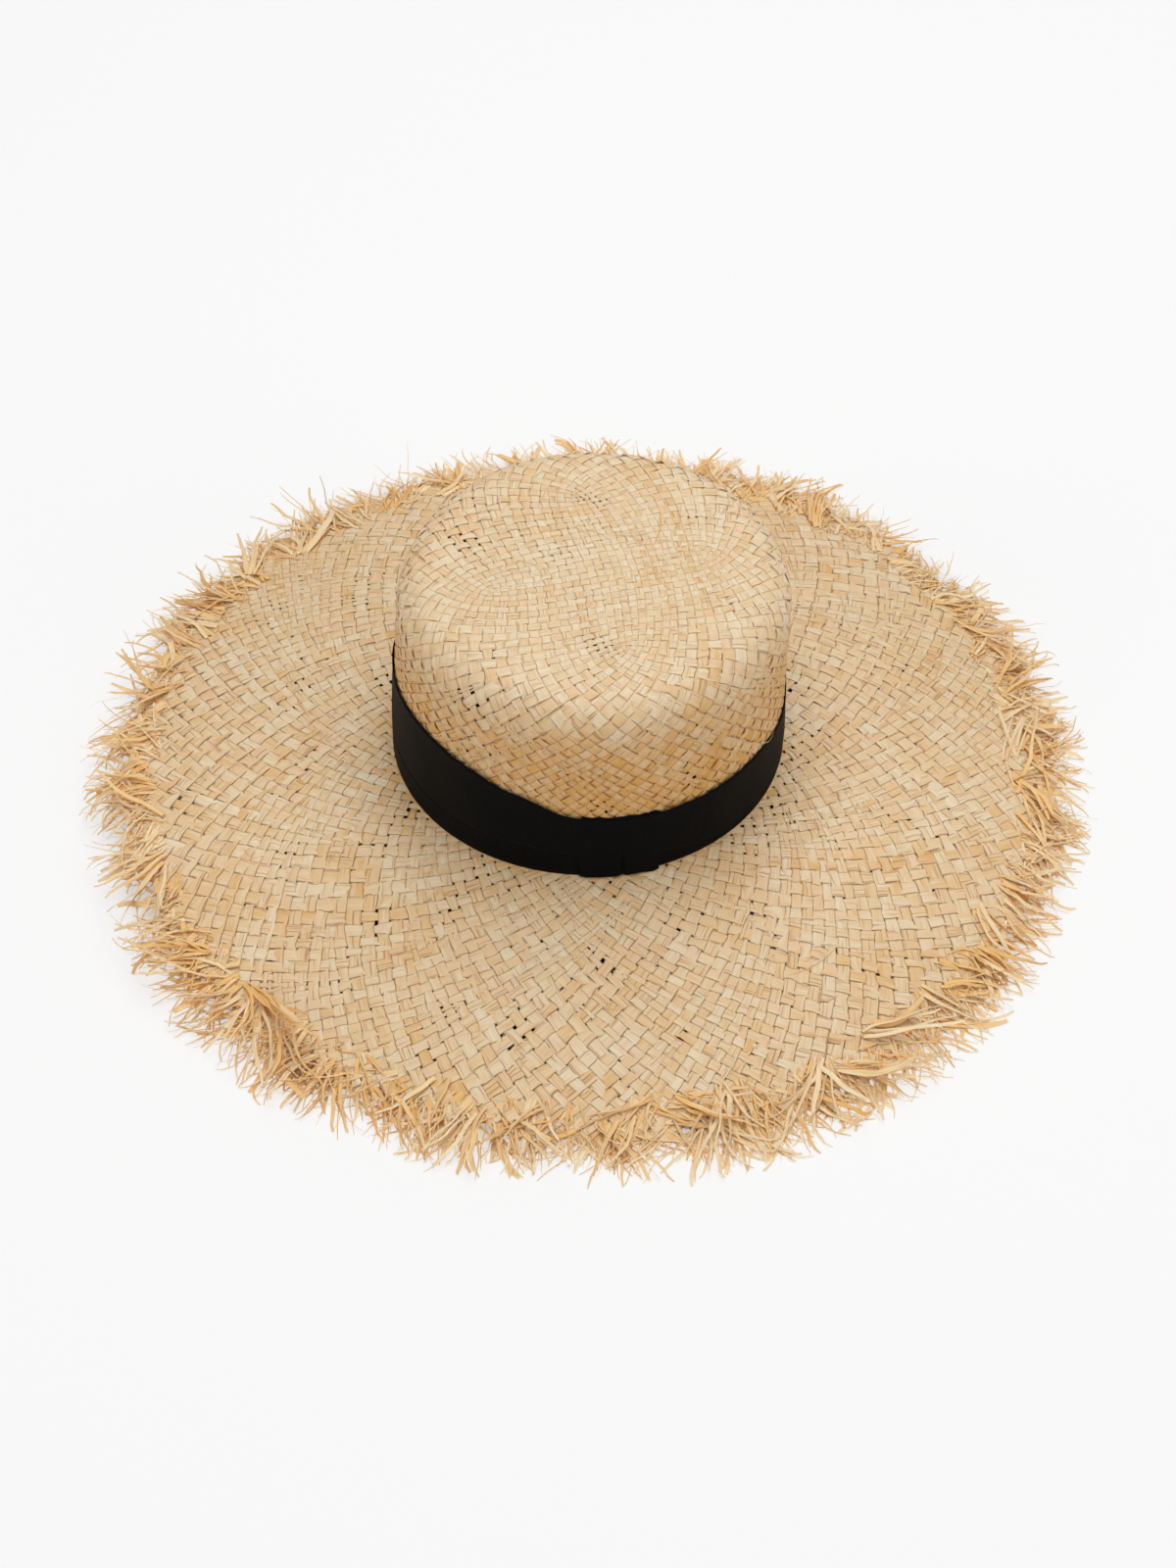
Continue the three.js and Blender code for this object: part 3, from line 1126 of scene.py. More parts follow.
        # Painted light and shade: the tint along s makes the crown's top paler and the wall deeper than
        # the brim.
        tint = np.interp(s, self.tint_stops, self.tint) + self.tint_spread * bell(ident, 7)
        tint = tint + np.where(chance(ident, 8) < self.odd_share, self.odd_tint, 0.0)
        tint = tint + strip_wave(ident, 9, along, ((0.12, 60.0), (0.10, 140.0)))
        number = np.broadcast_to(ident[:, None], s.shape)
        strand = np.stack([
            across,
            np.repeat((along * MM).ravel(), sides),
            np.repeat(number.ravel(), sides),
        ], axis=-1)
        return mesh_points, quads, {"strand": strand, "tint": np.repeat(tint.ravel(), sides)}


def path_length(form: HatForm, s: np.ndarray, angle: np.ndarray) -> np.ndarray:
    """Return the distance along each line from its first row, in millimetres."""
    points, _ = form.skin(s, angle)
    step = np.linalg.norm(np.diff(points, axis=1), axis=-1)
    return np.concatenate([np.zeros((len(s), 1)), np.cumsum(step, axis=1)], axis=1)


@dataclass
class Crown:
    """Woven crown: each first strip runs unbroken from headline to headline over the tip."""

    weave: Weave
    tip_rows: int = 80

    def build(self, material: bpy.types.Material) -> list:
        """Make the crown as two crossing lays of strips."""
        halves = {hand: self._half_lines(hand) for hand in Hand}
        pieces = []
        for name, quarters, hand in (
            ("crown_weft", (0, 2), Hand.CLOCKWISE),
            ("crown_warp", (1, 3), Hand.ANTICLOCKWISE),
        ):
            whole = self._whole_lines(halves, quarters)
            late = self._late_lines(halves[hand], whole["s"].shape[1])
            line = {key: np.concatenate([whole[key], late[key]]) for key in whole}
            points, quads, extra = self.weave.lay(line)
            piece = quad_mesh(name, points, quads, extra)
            dress(piece, material, Slot.STRAW, "crown")
            pieces.append(piece)
        return pieces

    def _half_lines(self, hand: Hand) -> dict:
        """Join the inner and outer rows of one family, from the tip's axis to the headline."""
        weave = self.weave
        inner = weave.inner(hand, self.tip_rows)
        outer = weave.outer(hand)
        rows = int(np.searchsorted(weave.rows, weave.s_headline)) + 1
        first_ones = np.nonzero(weave.births[hand] < 0.0)[0]
        late = np.nonzero(weave.births[hand] >= 0.0)[0]
        line = {}
        for key in ("s", "angle", "beat", "half_width"):
            line[key] = np.zeros((weave.total, self.tip_rows + rows - 1))
            line[key][first_ones, : self.tip_rows] = inner[key]
            line[key][late, : self.tip_rows] = outer[key][late, :1]
            line[key][:, self.tip_rows :] = outer[key][:, 1:rows]
        line["s"][late, : self.tip_rows] -= np.linspace(2.0, 0.1, self.tip_rows)
        line["weight"] = np.ones(line["s"].shape)
        line["weight"][:, self.tip_rows :] = outer["weight"][:, 1:rows]
        line["weight"][late, : self.tip_rows] = 0.0
        line["droop"] = np.zeros(line["s"].shape)
        line["along"] = path_length(weave.form, line["s"], line["angle"])
        line["first_ones"], line["late"] = first_ones, late
        return line

    def _whole_lines(self, halves: dict, quarters: tuple) -> dict:
        """Join each clockwise half with the anticlockwise half it continues as.

        Clockwise strip j of quarter n meets anticlockwise strip j of quarter n + 2 on the
        axis; the second runs backwards, so its distances along are negative.
        """
        n = self.weave.tip.quarter_strips
        right, left = halves[Hand.CLOCKWISE], halves[Hand.ANTICLOCKWISE]
        j = np.arange(n)
        own = np.concatenate([right["first_ones"][q * n + j] for q in quarters])
        mate = np.concatenate([
            left["first_ones"][(q + 2) % 4 * n + (n - 1 - j)] for q in quarters
        ])
        line = {}
        for key in ("s", "angle", "beat", "half_width", "weight", "droop"):
            line[key] = np.concatenate([left[key][mate][:, :0:-1], right[key][own]], axis=1)
        line["along"] = np.concatenate(
            [-left["along"][mate][:, :0:-1], right["along"][own]], axis=1
        )
        count, rows = line["s"].shape
        line["ident"] = own + 0.5
        line["first"] = np.zeros(count, int)
        line["last"] = np.full(count, rows - 1)
        return line

    def _late_lines(self, half: dict, rows: int) -> dict:
        """Return the strips added below the tip, padded to the rows of whole strips."""
        line = {}
        chosen = half["late"][half["weight"][half["late"], -1] > 0.4]
        for key in ("s", "angle", "beat", "half_width", "weight", "droop", "along"):
            kept = half[key][chosen]
            pad = np.repeat(kept[:, :1], rows - kept.shape[1], axis=1)
            line[key] = np.concatenate([pad, kept], axis=1)
        spare = rows - half["s"].shape[1]
        start = np.argmax(half["weight"][chosen] > 0.3, axis=1)
        line["ident"] = chosen + 1000.5
        line["first"] = spare + start
        line["last"] = np.full(len(chosen), rows - 1)
        return line


@dataclass
class Brim:
    """Woven brim from the headline to its ragged edge."""

    weave: Weave
    ragged: float = 5.0

    def build(self, material: bpy.types.Material) -> list:
        """Make the brim as its two crossing lays of strips."""
        pieces = []
        for name, hand in (("brim_weft", Hand.CLOCKWISE), ("brim_warp", Hand.ANTICLOCKWISE)):
            points, quads, extra = self.weave.lay(self._lines(hand))
            piece = quad_mesh(name, points, quads, extra)
            dress(piece, material, Slot.STRAW, "brim")
            pieces.append(piece)
        return pieces

    def _lines(self, hand: Hand) -> dict:
        """Cut one family's rows from the headline out, each strip ending where it frays."""
        weave = self.weave
        outer = weave.outer(hand)
        start = int(np.searchsorted(weave.rows, weave.s_headline))
        line = {key: value[:, start:].copy() for key, value in outer.items()}
        total = len(line["s"])
        line["ident"] = np.arange(total) + 2000.5 + 500.0 * hand.value
        end = weave.s_rim - 1.5 + self.ragged * chance(line["ident"], 31)[:, 0]
        line["last"] = np.searchsorted(weave.rows[start:], end) - 1
        line["first"] = np.argmax(line["weight"] > 0.3, axis=1)
        past = np.clip((line["s"] - weave.s_rim + 3.0) / 8.0, 0.0, 1.0)
        loose = strip_wave(line["ident"], 32, line["s"], ((0.7, 19.0), (0.6, 11.0)))
        line["droop"] = past * loose
        line["half_width"] *= 1.0 - 0.25 * past
        line["along"] = path_length(weave.form, line["s"], line["angle"]) + 150.0
        return line


@dataclass
class LooseHairs:
    """Fine hairs that have split off the strips and lie over the weave."""

    weave: Weave
    crown_count: int = 150
    brim_count: int = 520
    crown_span: tuple = (15.0, 128.0)
    crisp_deg: float = 60.0
    half_thick: float = 0.06
    rows: int = 7
    seed: int = 77

    def build(self, material: bpy.types.Material) -> list:
        """Make the crown's hairs, with one loop over the ribbon's edge, and the brim's."""
        rng = np.random.default_rng(self.seed)
        weave = self.weave
        crown = self._roots(rng, self.crown_count, *self.crown_span)
        loop = {
            "s": 150.5, "angle": math.radians(-31.0), "heading": 0.1, "bend": 3.3,
            "length": 17.0, "lift": 2.4, "width": 0.45, "tint": 0.1,
        }
        crown = {key: np.append(value, loop[key]) for key, value in crown.items()}
        brim = self._roots(rng, self.brim_count, weave.s_headline + 7.0, weave.s_rim - 4.0)
        return [
            self._piece("crown_hairs", crown, material, "crown"),
            self._piece("brim_hairs", brim, material, "brim"),
        ]

    def _roots(self, rng: np.random.Generator, count: int, low: float, high: float) -> dict:
        """Return where hairs start, how they head off and how big they are."""
        heading = rng.choice([-1.0, 1.0], count) * math.radians(45.0)
        return {
            "s": rng.uniform(low, high, count),
            "angle": rng.uniform(0.0, FULL_TURN, count),
            "heading": heading + rng.normal(0.0, 0.2, count),
            "bend": rng.normal(0.0, 0.45, count),
            "length": rng.gamma(3.0, 2.6, count) + 3.0,
            "lift": rng.gamma(2.0, 0.10, count),
            "width": rng.uniform(0.25, 0.7, count),
            "tint": rng.uniform(-0.1, 0.9, count),
        }

    def _piece(
        self, name: str, hair: dict, material: bpy.types.Material, node: str
    ) -> bpy.types.Object:
        """Sweep hairs that arch over the weave by lift * sin(pi t) and lie flat at the ends."""
        weave, form, rows = self.weave, self.weave.form, self.rows
        t = np.linspace(0.0, 1.0, rows)
        column = {key: np.asarray(value)[:, None] for key, value in hair.items()}
        heading = column["heading"] + column["bend"] * t
        step = column["length"] / (rows - 1) * np.minimum(t * 1e6, 1.0)
        s = column["s"] + np.cumsum(step * np.cos(heading), axis=1)
        r = np.interp(s, form.s, form.radius)
        angle = column["angle"] + np.cumsum(step * np.sin(heading) / r, axis=1)
        high = np.interp(s, weave.relief_stops, weave.relief) + 0.18
        points, normals = form.skin(s, angle)
        rise = high + column["lift"] * np.sin(math.pi * t)
        points = form.settle(points + normals * rise[..., None])
        half = 0.5 * column["width"] * (0.35 + 0.65 * np.sin(math.pi * t))
        section = FIBRE_SECTION
        count = len(s)
        mesh_points, quads, across = section.sweep(
            points, normals, half, np.full(s.shape, self.half_thick), np.zeros(s.shape),
            np.zeros(count, int), np.full(count, rows - 1),
        )
        sides = len(section.across)
        along = (column["length"] * t * MM).ravel()
        number = np.broadcast_to(900.5 + np.arange(count)[:, None], s.shape)
        strand = np.stack([
            across * 0.6, np.repeat(along, sides), np.repeat(number.ravel(), sides)
        ], axis=-1)
        tint = np.broadcast_to(column["tint"], s.shape)
        extra = {"strand": strand, "tint": np.repeat(tint.ravel(), sides)}
        piece = quad_mesh(name, mesh_points, quads, extra, crisp_deg=self.crisp_deg)
        dress(piece, material, Slot.STRAW, node)
        return piece


@dataclass
class Fringe:
    """Frayed ends: every strip of the brim is shredded into flat fibres that fan out."""

    weave: Weave
    fibres: int = 10
    hairs: int = 420
    lengthwise: int = 160
    rows: int = 9
    reach: float = 29.0
    front_share: float = 0.06
    lean_deg: float = 31.0
    slope: float = -0.20
    soft_radius: float = 240.0
    limit_radius: float = 252.0
    floor_height: float = 0.1
    crisp_deg: float = 60.0
    seed: int = 41

    def build(self, material: bpy.types.Material) -> list:
        """Make the fringe in two pieces, one for each half of the rim."""
        rng = np.random.default_rng(self.seed)
        roots = self._roots(rng)
        line, normal, half = self._grow(rng, roots)
        middle = line[:, self.rows // 2]
        return [
            self._piece(name, rng, {k: v[chosen] for k, v in
                                    {"line": line, "normal": normal, "half": half,
                                     "tint": roots["tint"]}.items()}, material)
            for name, chosen in (
                ("fringe_front", middle[:, 1] < 0.0),
                ("fringe_back", middle[:, 1] >= 0.0),
            )
        ]

    def tufts(self, angle: np.ndarray) -> np.ndarray:
        """Return how long the fringe is at an angle, as a share: front, slow waves and tufts."""
        return (
            1.0
            - self.front_share * np.sin(angle)
            + 0.10 * np.sin(5.0 * angle + 0.8)
            + 0.10 * np.sin(11.0 * angle + 2.9)
            + 0.13 * np.sin(29.0 * angle + 1.1) * np.sin(8.0 * angle)
            + 0.12 * np.sin(53.0 * angle + 0.3)
        )

    def _roots(self, rng: np.random.Generator) -> dict:
        """Return where fibres leave the brim, how they head off and how big they are.

        Headings are angles from the outward radius: about plus or minus the lean for the
        fibres of a shredded strip, which stay in a bundle; anything between for loose
        hairs; and near 90 degrees for strips that lie along the rim.
        """
        weave = self.weave
        row = int(np.searchsorted(weave.rows, weave.s_rim - 2.5))
        parts = []
        for hand in Hand:
            angle = weave.angles[hand][:, row] % FULL_TURN
            count, each = len(angle), self.fibres
            share = (np.arange(each) + 0.5) / each - 0.5
            gap = FULL_TURN / count
            spot = angle[:, None] + share * gap + rng.normal(0.0, 0.12 * gap, (count, each))
            lean = hand.value * math.radians(self.lean_deg) + rng.normal(0.0, 0.42, (count, 1))
            splay = lean + share * 0.40 + rng.normal(0.0, 0.24, (count, each))
            bundle = rng.normal(1.0, 0.10, (count, 1)) * self.tufts(spot)
            size = self.reach * bundle / np.cos(np.clip(splay, -0.8, 0.8))
            size = size * rng.uniform(0.72, 1.10, (count, each))
            tint = rng.normal(0.40, 0.30, (count, 1)) + rng.normal(0.0, 0.28, (count, each))
            parts.append({
                "spot": spot, "heading": splay, "length": size,
                "width": rng.gamma(2.0, 0.52, (count, each)) + 0.35,
                "curl": rng.normal(0.0, 0.35, (count, 1)) + rng.normal(0.0, 0.50, (count, each)),
                "dip": rng.normal(-0.02, 0.15, (count, 1)) + rng.normal(0.0, 0.10, (count, each)),
                "bow": rng.normal(-0.30, 0.30, (count, 1)) + rng.normal(0.0, 0.20, (count, each)),
                "inset": (
                    -13.0 * rng.uniform(0.0, 1.0, (count, 1)) ** 1.5
                    + rng.uniform(-3.0, 1.5, (count, each))
                ),
                "tint": tint,
            })
        loose = self.hairs
        parts.append({
            "spot": rng.uniform(0.0, FULL_TURN, loose),
            "heading": rng.normal(0.0, 0.65, loose),
            "length": rng.uniform(12.0, 33.0, loose),
            "width": rng.uniform(0.3, 0.8, loose),
            "curl": rng.normal(0.0, 0.6, loose),
            "dip": rng.normal(0.05, 0.22, loose),
            "bow": rng.normal(-0.25, 0.45, loose),
            "inset": rng.uniform(-6.0, 1.0, loose),
            "tint": rng.uniform(0.1, 0.8, loose),
        })
        along = self.lengthwise
        parts.append({
            "spot": rng.uniform(0.0, FULL_TURN, along),
            "heading": rng.choice([-1.0, 1.0], along) * rng.uniform(1.1, 1.5, along),
            "length": rng.uniform(18.0, 46.0, along),
            "width": rng.uniform(1.2, 2.8, along),
            "curl": rng.normal(0.0, 0.4, along),
            "dip": rng.normal(0.06, 0.08, along),
            "bow": rng.normal(-0.2, 0.15, along),
            "inset": rng.uniform(-3.0, 2.0, along),
            "tint": rng.uniform(0.1, 0.9, along),
        })
        return {
            key: np.concatenate([
                np.broadcast_to(part[key], part["spot"].shape).ravel() for part in parts
            ])
            for key in parts[0]
        }

    def _grow(self, rng: np.random.Generator, roots: dict) -> tuple:
        """Integrate each fibre from its root.

        With b the heading and g the dip, both drifting along the fibre, a step is
        dl (cos g (R cos b + A sin b) + Z sin g), where R points outwards and A round.

        Returns:
            Centre lines and normals (fibres, rows, 3) and half widths (fibres, rows).
        """
        form, weave = self.weave.form, self.weave
        spot = roots["spot"]
        count = len(spot)
        t = np.linspace(0.0, 1.0, self.rows)
        root, _ = form.skin(weave.s_rim + roots["inset"], spot)
        root[:, 2] += rng.uniform(-0.8, 1.0, count) + 0.3 * (roots["inset"] < -4.0)
        sway = roots["heading"][:, None] + roots["curl"][:, None] * t**1.3
        sway = sway + wander(rng, count, t, ((0.17, 0.55), (0.13, 0.3)))
        dip = self.slope + roots["dip"][:, None] + roots["bow"][:, None] * t**1.2
        dip = dip + wander(rng, count, t, ((0.15, 0.6), (0.10, 0.3)))
        outwards = np.stack([np.cos(spot), np.sin(spot), 0 * spot], axis=-1)[:, None]
        around = np.stack([-np.sin(spot), np.cos(spot), 0 * spot], axis=-1)[:, None]
        up = np.array([0.0, 0.0, 1.0])
        step = (
            np.cos(dip)[..., None]
            * (outwards * np.cos(sway)[..., None] + around * np.sin(sway)[..., None])
            + up * np.sin(dip)[..., None]
        )
        pace = (roots["length"] / (self.rows - 1))[:, None, None]
        line = root[:, None] + np.concatenate(
            [np.zeros((count, 1, 3)), np.cumsum(0.5 * (step[:, 1:] + step[:, :-1]) * pace, axis=1)],
            axis=1,
        )
        line = form.settle(self._bounded(line))
        roll = rng.normal(0.0, 0.25, (count, 1)) + rng.normal(0.0, 0.6, (count, 1)) * t
        tangent = unit(np.gradient(line, axis=1))
        side = unit(np.cross(np.broadcast_to(up, tangent.shape), tangent))
        lift = np.cross(tangent, side)
        normal = lift * np.cos(roll)[..., None] + side * np.sin(roll)[..., None]
        taper = 1.0 - 0.5 * t**2.5
        return line, normal, 0.5 * roots["width"][:, None] * taper

    def _bounded(self, line: np.ndarray) -> np.ndarray:
        """Keep fibres inside the fringe's own reach by easing their radius to a limit."""
        r = np.hypot(line[..., 0], line[..., 1])
        soft, limit = self.soft_radius, self.limit_radius
        over = np.maximum(r - soft, 0.0)
        eased = soft + (limit - soft) * (1.0 - np.exp(-over / (limit - soft)))
        scale = np.where(r > soft, eased / r, 1.0)
        return line * np.stack([scale, scale, np.ones_like(scale)], axis=-1)

    def _piece(
        self, name: str, rng: np.random.Generator, fibres: dict, material: bpy.types.Material
    ) -> bpy.types.Object:
        """Sweep one half of the fibres into a mesh."""
        half = fibres["half"]
        count, rows = half.shape
        section = FIBRE_SECTION
        points, quads, across = section.sweep(
            fibres["line"], fibres["normal"], half, np.minimum(0.10, 0.3 * half),
            np.zeros(half.shape), np.zeros(count, int), np.full(count, rows - 1),
        )
        points[:, 2] = np.maximum(points[:, 2], self.floor_height)
        # Painted shade: each fibre gets a deeper tint at its root, fading towards the tip.
        tint = np.clip(fibres["tint"][:, None], 0.0, 0.9) + np.linspace(0.30, -0.06, rows)
        along = np.linspace(0.0, 0.035, rows) * np.ones((count, 1))
        sides = len(section.across)
        number = np.broadcast_to(rng.uniform(0, 400, (count, 1)), half.shape)
        strand = np.stack([
            across * 0.95, np.repeat(along.ravel(), sides), np.repeat(number.ravel(), sides),
        ], axis=-1)
        extra = {"strand": strand, "tint": np.repeat(tint.ravel(), sides)}
        piece = quad_mesh(name, points, quads, extra, crisp_deg=self.crisp_deg)
        dress(piece, material, Slot.FRAYED, "fringe")
        return piece


# ---------------------------------------------------------------------------
# Ribbon
# ---------------------------------------------------------------------------


@dataclass
class Ribbon:
    """Black ribbon round the crown with a long pleat and a flat tab."""

    form: HatForm
    thickness: float = 0.5
    stand_off: float = 0.25
    bottom: float = 0.4
    columns: int = 540
    tab_centre: float = 9.0
    tab_half: float = 11.3
    stops: tuple = (-180, -140, -110, -85, -58, -37, -21, -4, 5, 22, 42, 58, 80, 110, 145, 180)
    heights: tuple = (
        42, 45, 49, 55.5, 59.5, 57.2, 50.6, 41, 39.3, 38.8, 39.1, 38.3, 34.5, 35, 38, 42
    )
    pleat_stops: tuple = (-180, -50, -36, -21, -2, 20, 31, 44, 56, 180)
    pleat_heights: tuple = (17, 15, 17.2, 18.2, 16.4, 12.6, 9.7, 5.0, 4.0, 17)

    def height(self, f: np.ndarray) -> np.ndarray:
        """Return the band's top above the headline at angle f from the front."""
        return (
            0.25 * periodic(f - 0.05, self.stops, self.heights)
            + 0.5 * periodic(f, self.stops, self.heights)
            + 0.25 * periodic(f + 0.05, self.stops, self.heights)
        )

    def wall(self, z: np.ndarray) -> np.ndarray:
        """Return the crown's outer radius at height z above the headline."""
        return self.form.base_radius - self.form.taper * z

    def fold_share(self, f: np.ndarray) -> np.ndarray:
        """Return 1 where the pleat is fully folded and 0 where the band lies flat."""
        degrees = np.degrees((f + math.pi) % FULL_TURN - math.pi)
        return smooth_step((degrees + 50.0) / 18.0) * smooth_step((54.0 - degrees) / 16.0)

    def profile(self, f: np.ndarray) -> tuple:
        """Return the band's middle line: height and stand-out for each column.

        Going up, the tape rises to just above the crease, turns back down behind the upper
        layer, then turns round a soft lip and runs up to the top edge.
        """
        fold = self.fold_share(f)
        crease = periodic(f, self.pleat_stops, self.pleat_heights)
        top = self.height(f) + 0.16 * np.sin(23 * f) * np.sin(7 * f + 1.0)
        deep = 0.05 + 3.2 * fold
        low = np.linspace(0.0, 1.0, 9)[None, :]
        back = np.linspace(0.0, 1.0, 5)[None, 1:]
        turn = np.linspace(-1.0, 1.0, 8)[None, 1:-1]
        high = np.linspace(0.0, 1.0, 22)[None, :]
        lip = 0.55
        rise = np.concatenate([
            self.bottom + (crease + deep - self.bottom) * low,
            crease + deep * (1.0 - back) + 0.01 * back,
            crease - lip * fold * np.cos(0.5 * math.pi * turn) + 0.02 * (1.0 + turn),
            crease + 0.06 + (top - crease - 0.06) * high,
        ], axis=1)
        under = 0.0 * low
        out = np.concatenate([
            under + 0 * f,
            0.42 * fold * smooth_step(back) + 0 * f,
            0.42 * fold + 0.42 * fold * (1.0 + np.sin(0.5 * math.pi * turn)),
            fold * (1.26 + 0.35 * np.sin(math.pi * high) * (1.0 - high) - 0.55 * high),
        ], axis=1)
        return rise, out

    def build_band(self, material: bpy.types.Material) -> bpy.types.Object:
        """Make the band as one closed thin shell."""
        f = np.linspace(0.0, FULL_TURN, self.columns, endpoint=False)[:, None]
        z, stand = self.profile(f)
        v = z / self.height(f)
        sway = 0.16 * np.sin(5 * f + 0.4) * np.sin(2.2 * v + f) + 0.10 * np.sin(13 * f + 4 * v)
        flare = 0.3 * smooth_step((v - 0.85) / 0.15) * smooth_step((z - 44.0) / 10.0)
        out = self.wall(z) + self.stand_off + stand + (0.2 + sway) * smooth_step(v * 3.0) + flare
        ring = np.stack([out * np.sin(f), -out * np.cos(f), z + self.form.headline], axis=-1)
        along = unit(np.roll(ring, -1, axis=0) - np.roll(ring, 1, axis=0))
        upwards = unit(np.gradient(ring, axis=1))
        face = unit(np.cross(along, upwards))
        outer = self.form.settle(ring + face * 0.5 * self.thickness)
        inner = self.form.settle(ring - face * 0.5 * self.thickness)
        points, quads = shell(outer, inner, closed=True)
        cloth = np.stack([f * self.form.base_radius * MM + 0 * z, z * MM, 0 * z], axis=-1)
        extra = {"cloth": np.tile(cloth.reshape(-1, 3), (2, 1))}
        piece = quad_mesh("black_ribbon", points, quads, extra)
        dress(piece, material, Slot.RIBBON, "ribbon_band")
        return piece

    def build_tab(self, material: bpy.types.Material) -> bpy.types.Object:
        """Make the tab: two soft pads either side of a crease, rolled over both edges."""
        u = np.linspace(-1.0, 1.0, 73)[:, None]
        f = np.radians(self.tab_centre + self.tab_half * u)
        front = np.linspace(0.0, 1.0, 36)
        roll = np.linspace(0.0, 1.0, 7)
        lower, upper = roll[::-1][:-1], roll[1:]
        face = np.concatenate([0 * lower, front, 0 * upper + 1.0])[None, :]
        wrap = np.concatenate([lower, 0 * front, upper])[None, :]
        down = np.concatenate([-1.0 + 0 * lower, 0 * front, 1.0 + 0 * upper])[None, :]
        ease = smooth_step((np.abs(u) - 0.80) / 0.20)
        low = 0.9 - 1.0 * smooth_step((u - 0.45) / 0.5)
        high = self.height(f) - 0.5 - 0.5 * ease + 0.2 * np.sin(9 * u)
        z = low + (high - low) * face + down * 0.8 * np.sin(0.5 * math.pi * wrap)
        pads = 0.75 * (1.0 - np.abs(u) ** 4) * (0.65 + 0.35 * np.sin(math.pi * face))
        reach = 0.45 + 0.55 * smooth_step((0.9 - face) / 0.5)
        valley = 0.85 * reach * np.exp(-(((u - 0.05 - 0.03 * np.sin(4 * face)) / 0.075) ** 2))
        notch = 0.6 * np.exp(-(((u - 0.06) / 0.035) ** 2)) * np.exp(-(((face - 0.2) / 0.12) ** 2))
        crumple = 0.12 * np.sin(6.0 * u + 1.5) * np.sin(2.5 * face + 0.7)
        base = self.wall(z) + self.stand_off + 1.75 - 0.85 * face
        out = base + pads - valley - notch + crumple - 0.45 * ease
        out = out - 1.5 * (1.0 - np.cos(0.5 * math.pi * wrap))
        grids = []
        for inward in (0.0, 0.45):
            r = out - inward
            points = np.stack([r * np.sin(f), -r * np.cos(f), z + self.form.headline], axis=-1)
            grids.append(self.form.settle(points))
        points, quads = shell(grids[0], grids[1], closed=False)
        run = np.linspace(0.0, 0.05, z.shape[1])[None, :]
        cloth = np.stack([run + 0 * u, f * self.form.base_radius * MM + 0 * run, 0 * z], axis=-1)
        extra = {"cloth": np.tile(cloth.reshape(-1, 3), (2, 1))}
        piece = quad_mesh("black_tab", points, quads, extra)
        dress(piece, material, Slot.RIBBON, "ribbon_tab")
        return piece


# ---------------------------------------------------------------------------
# Inside of the crown
# ---------------------------------------------------------------------------


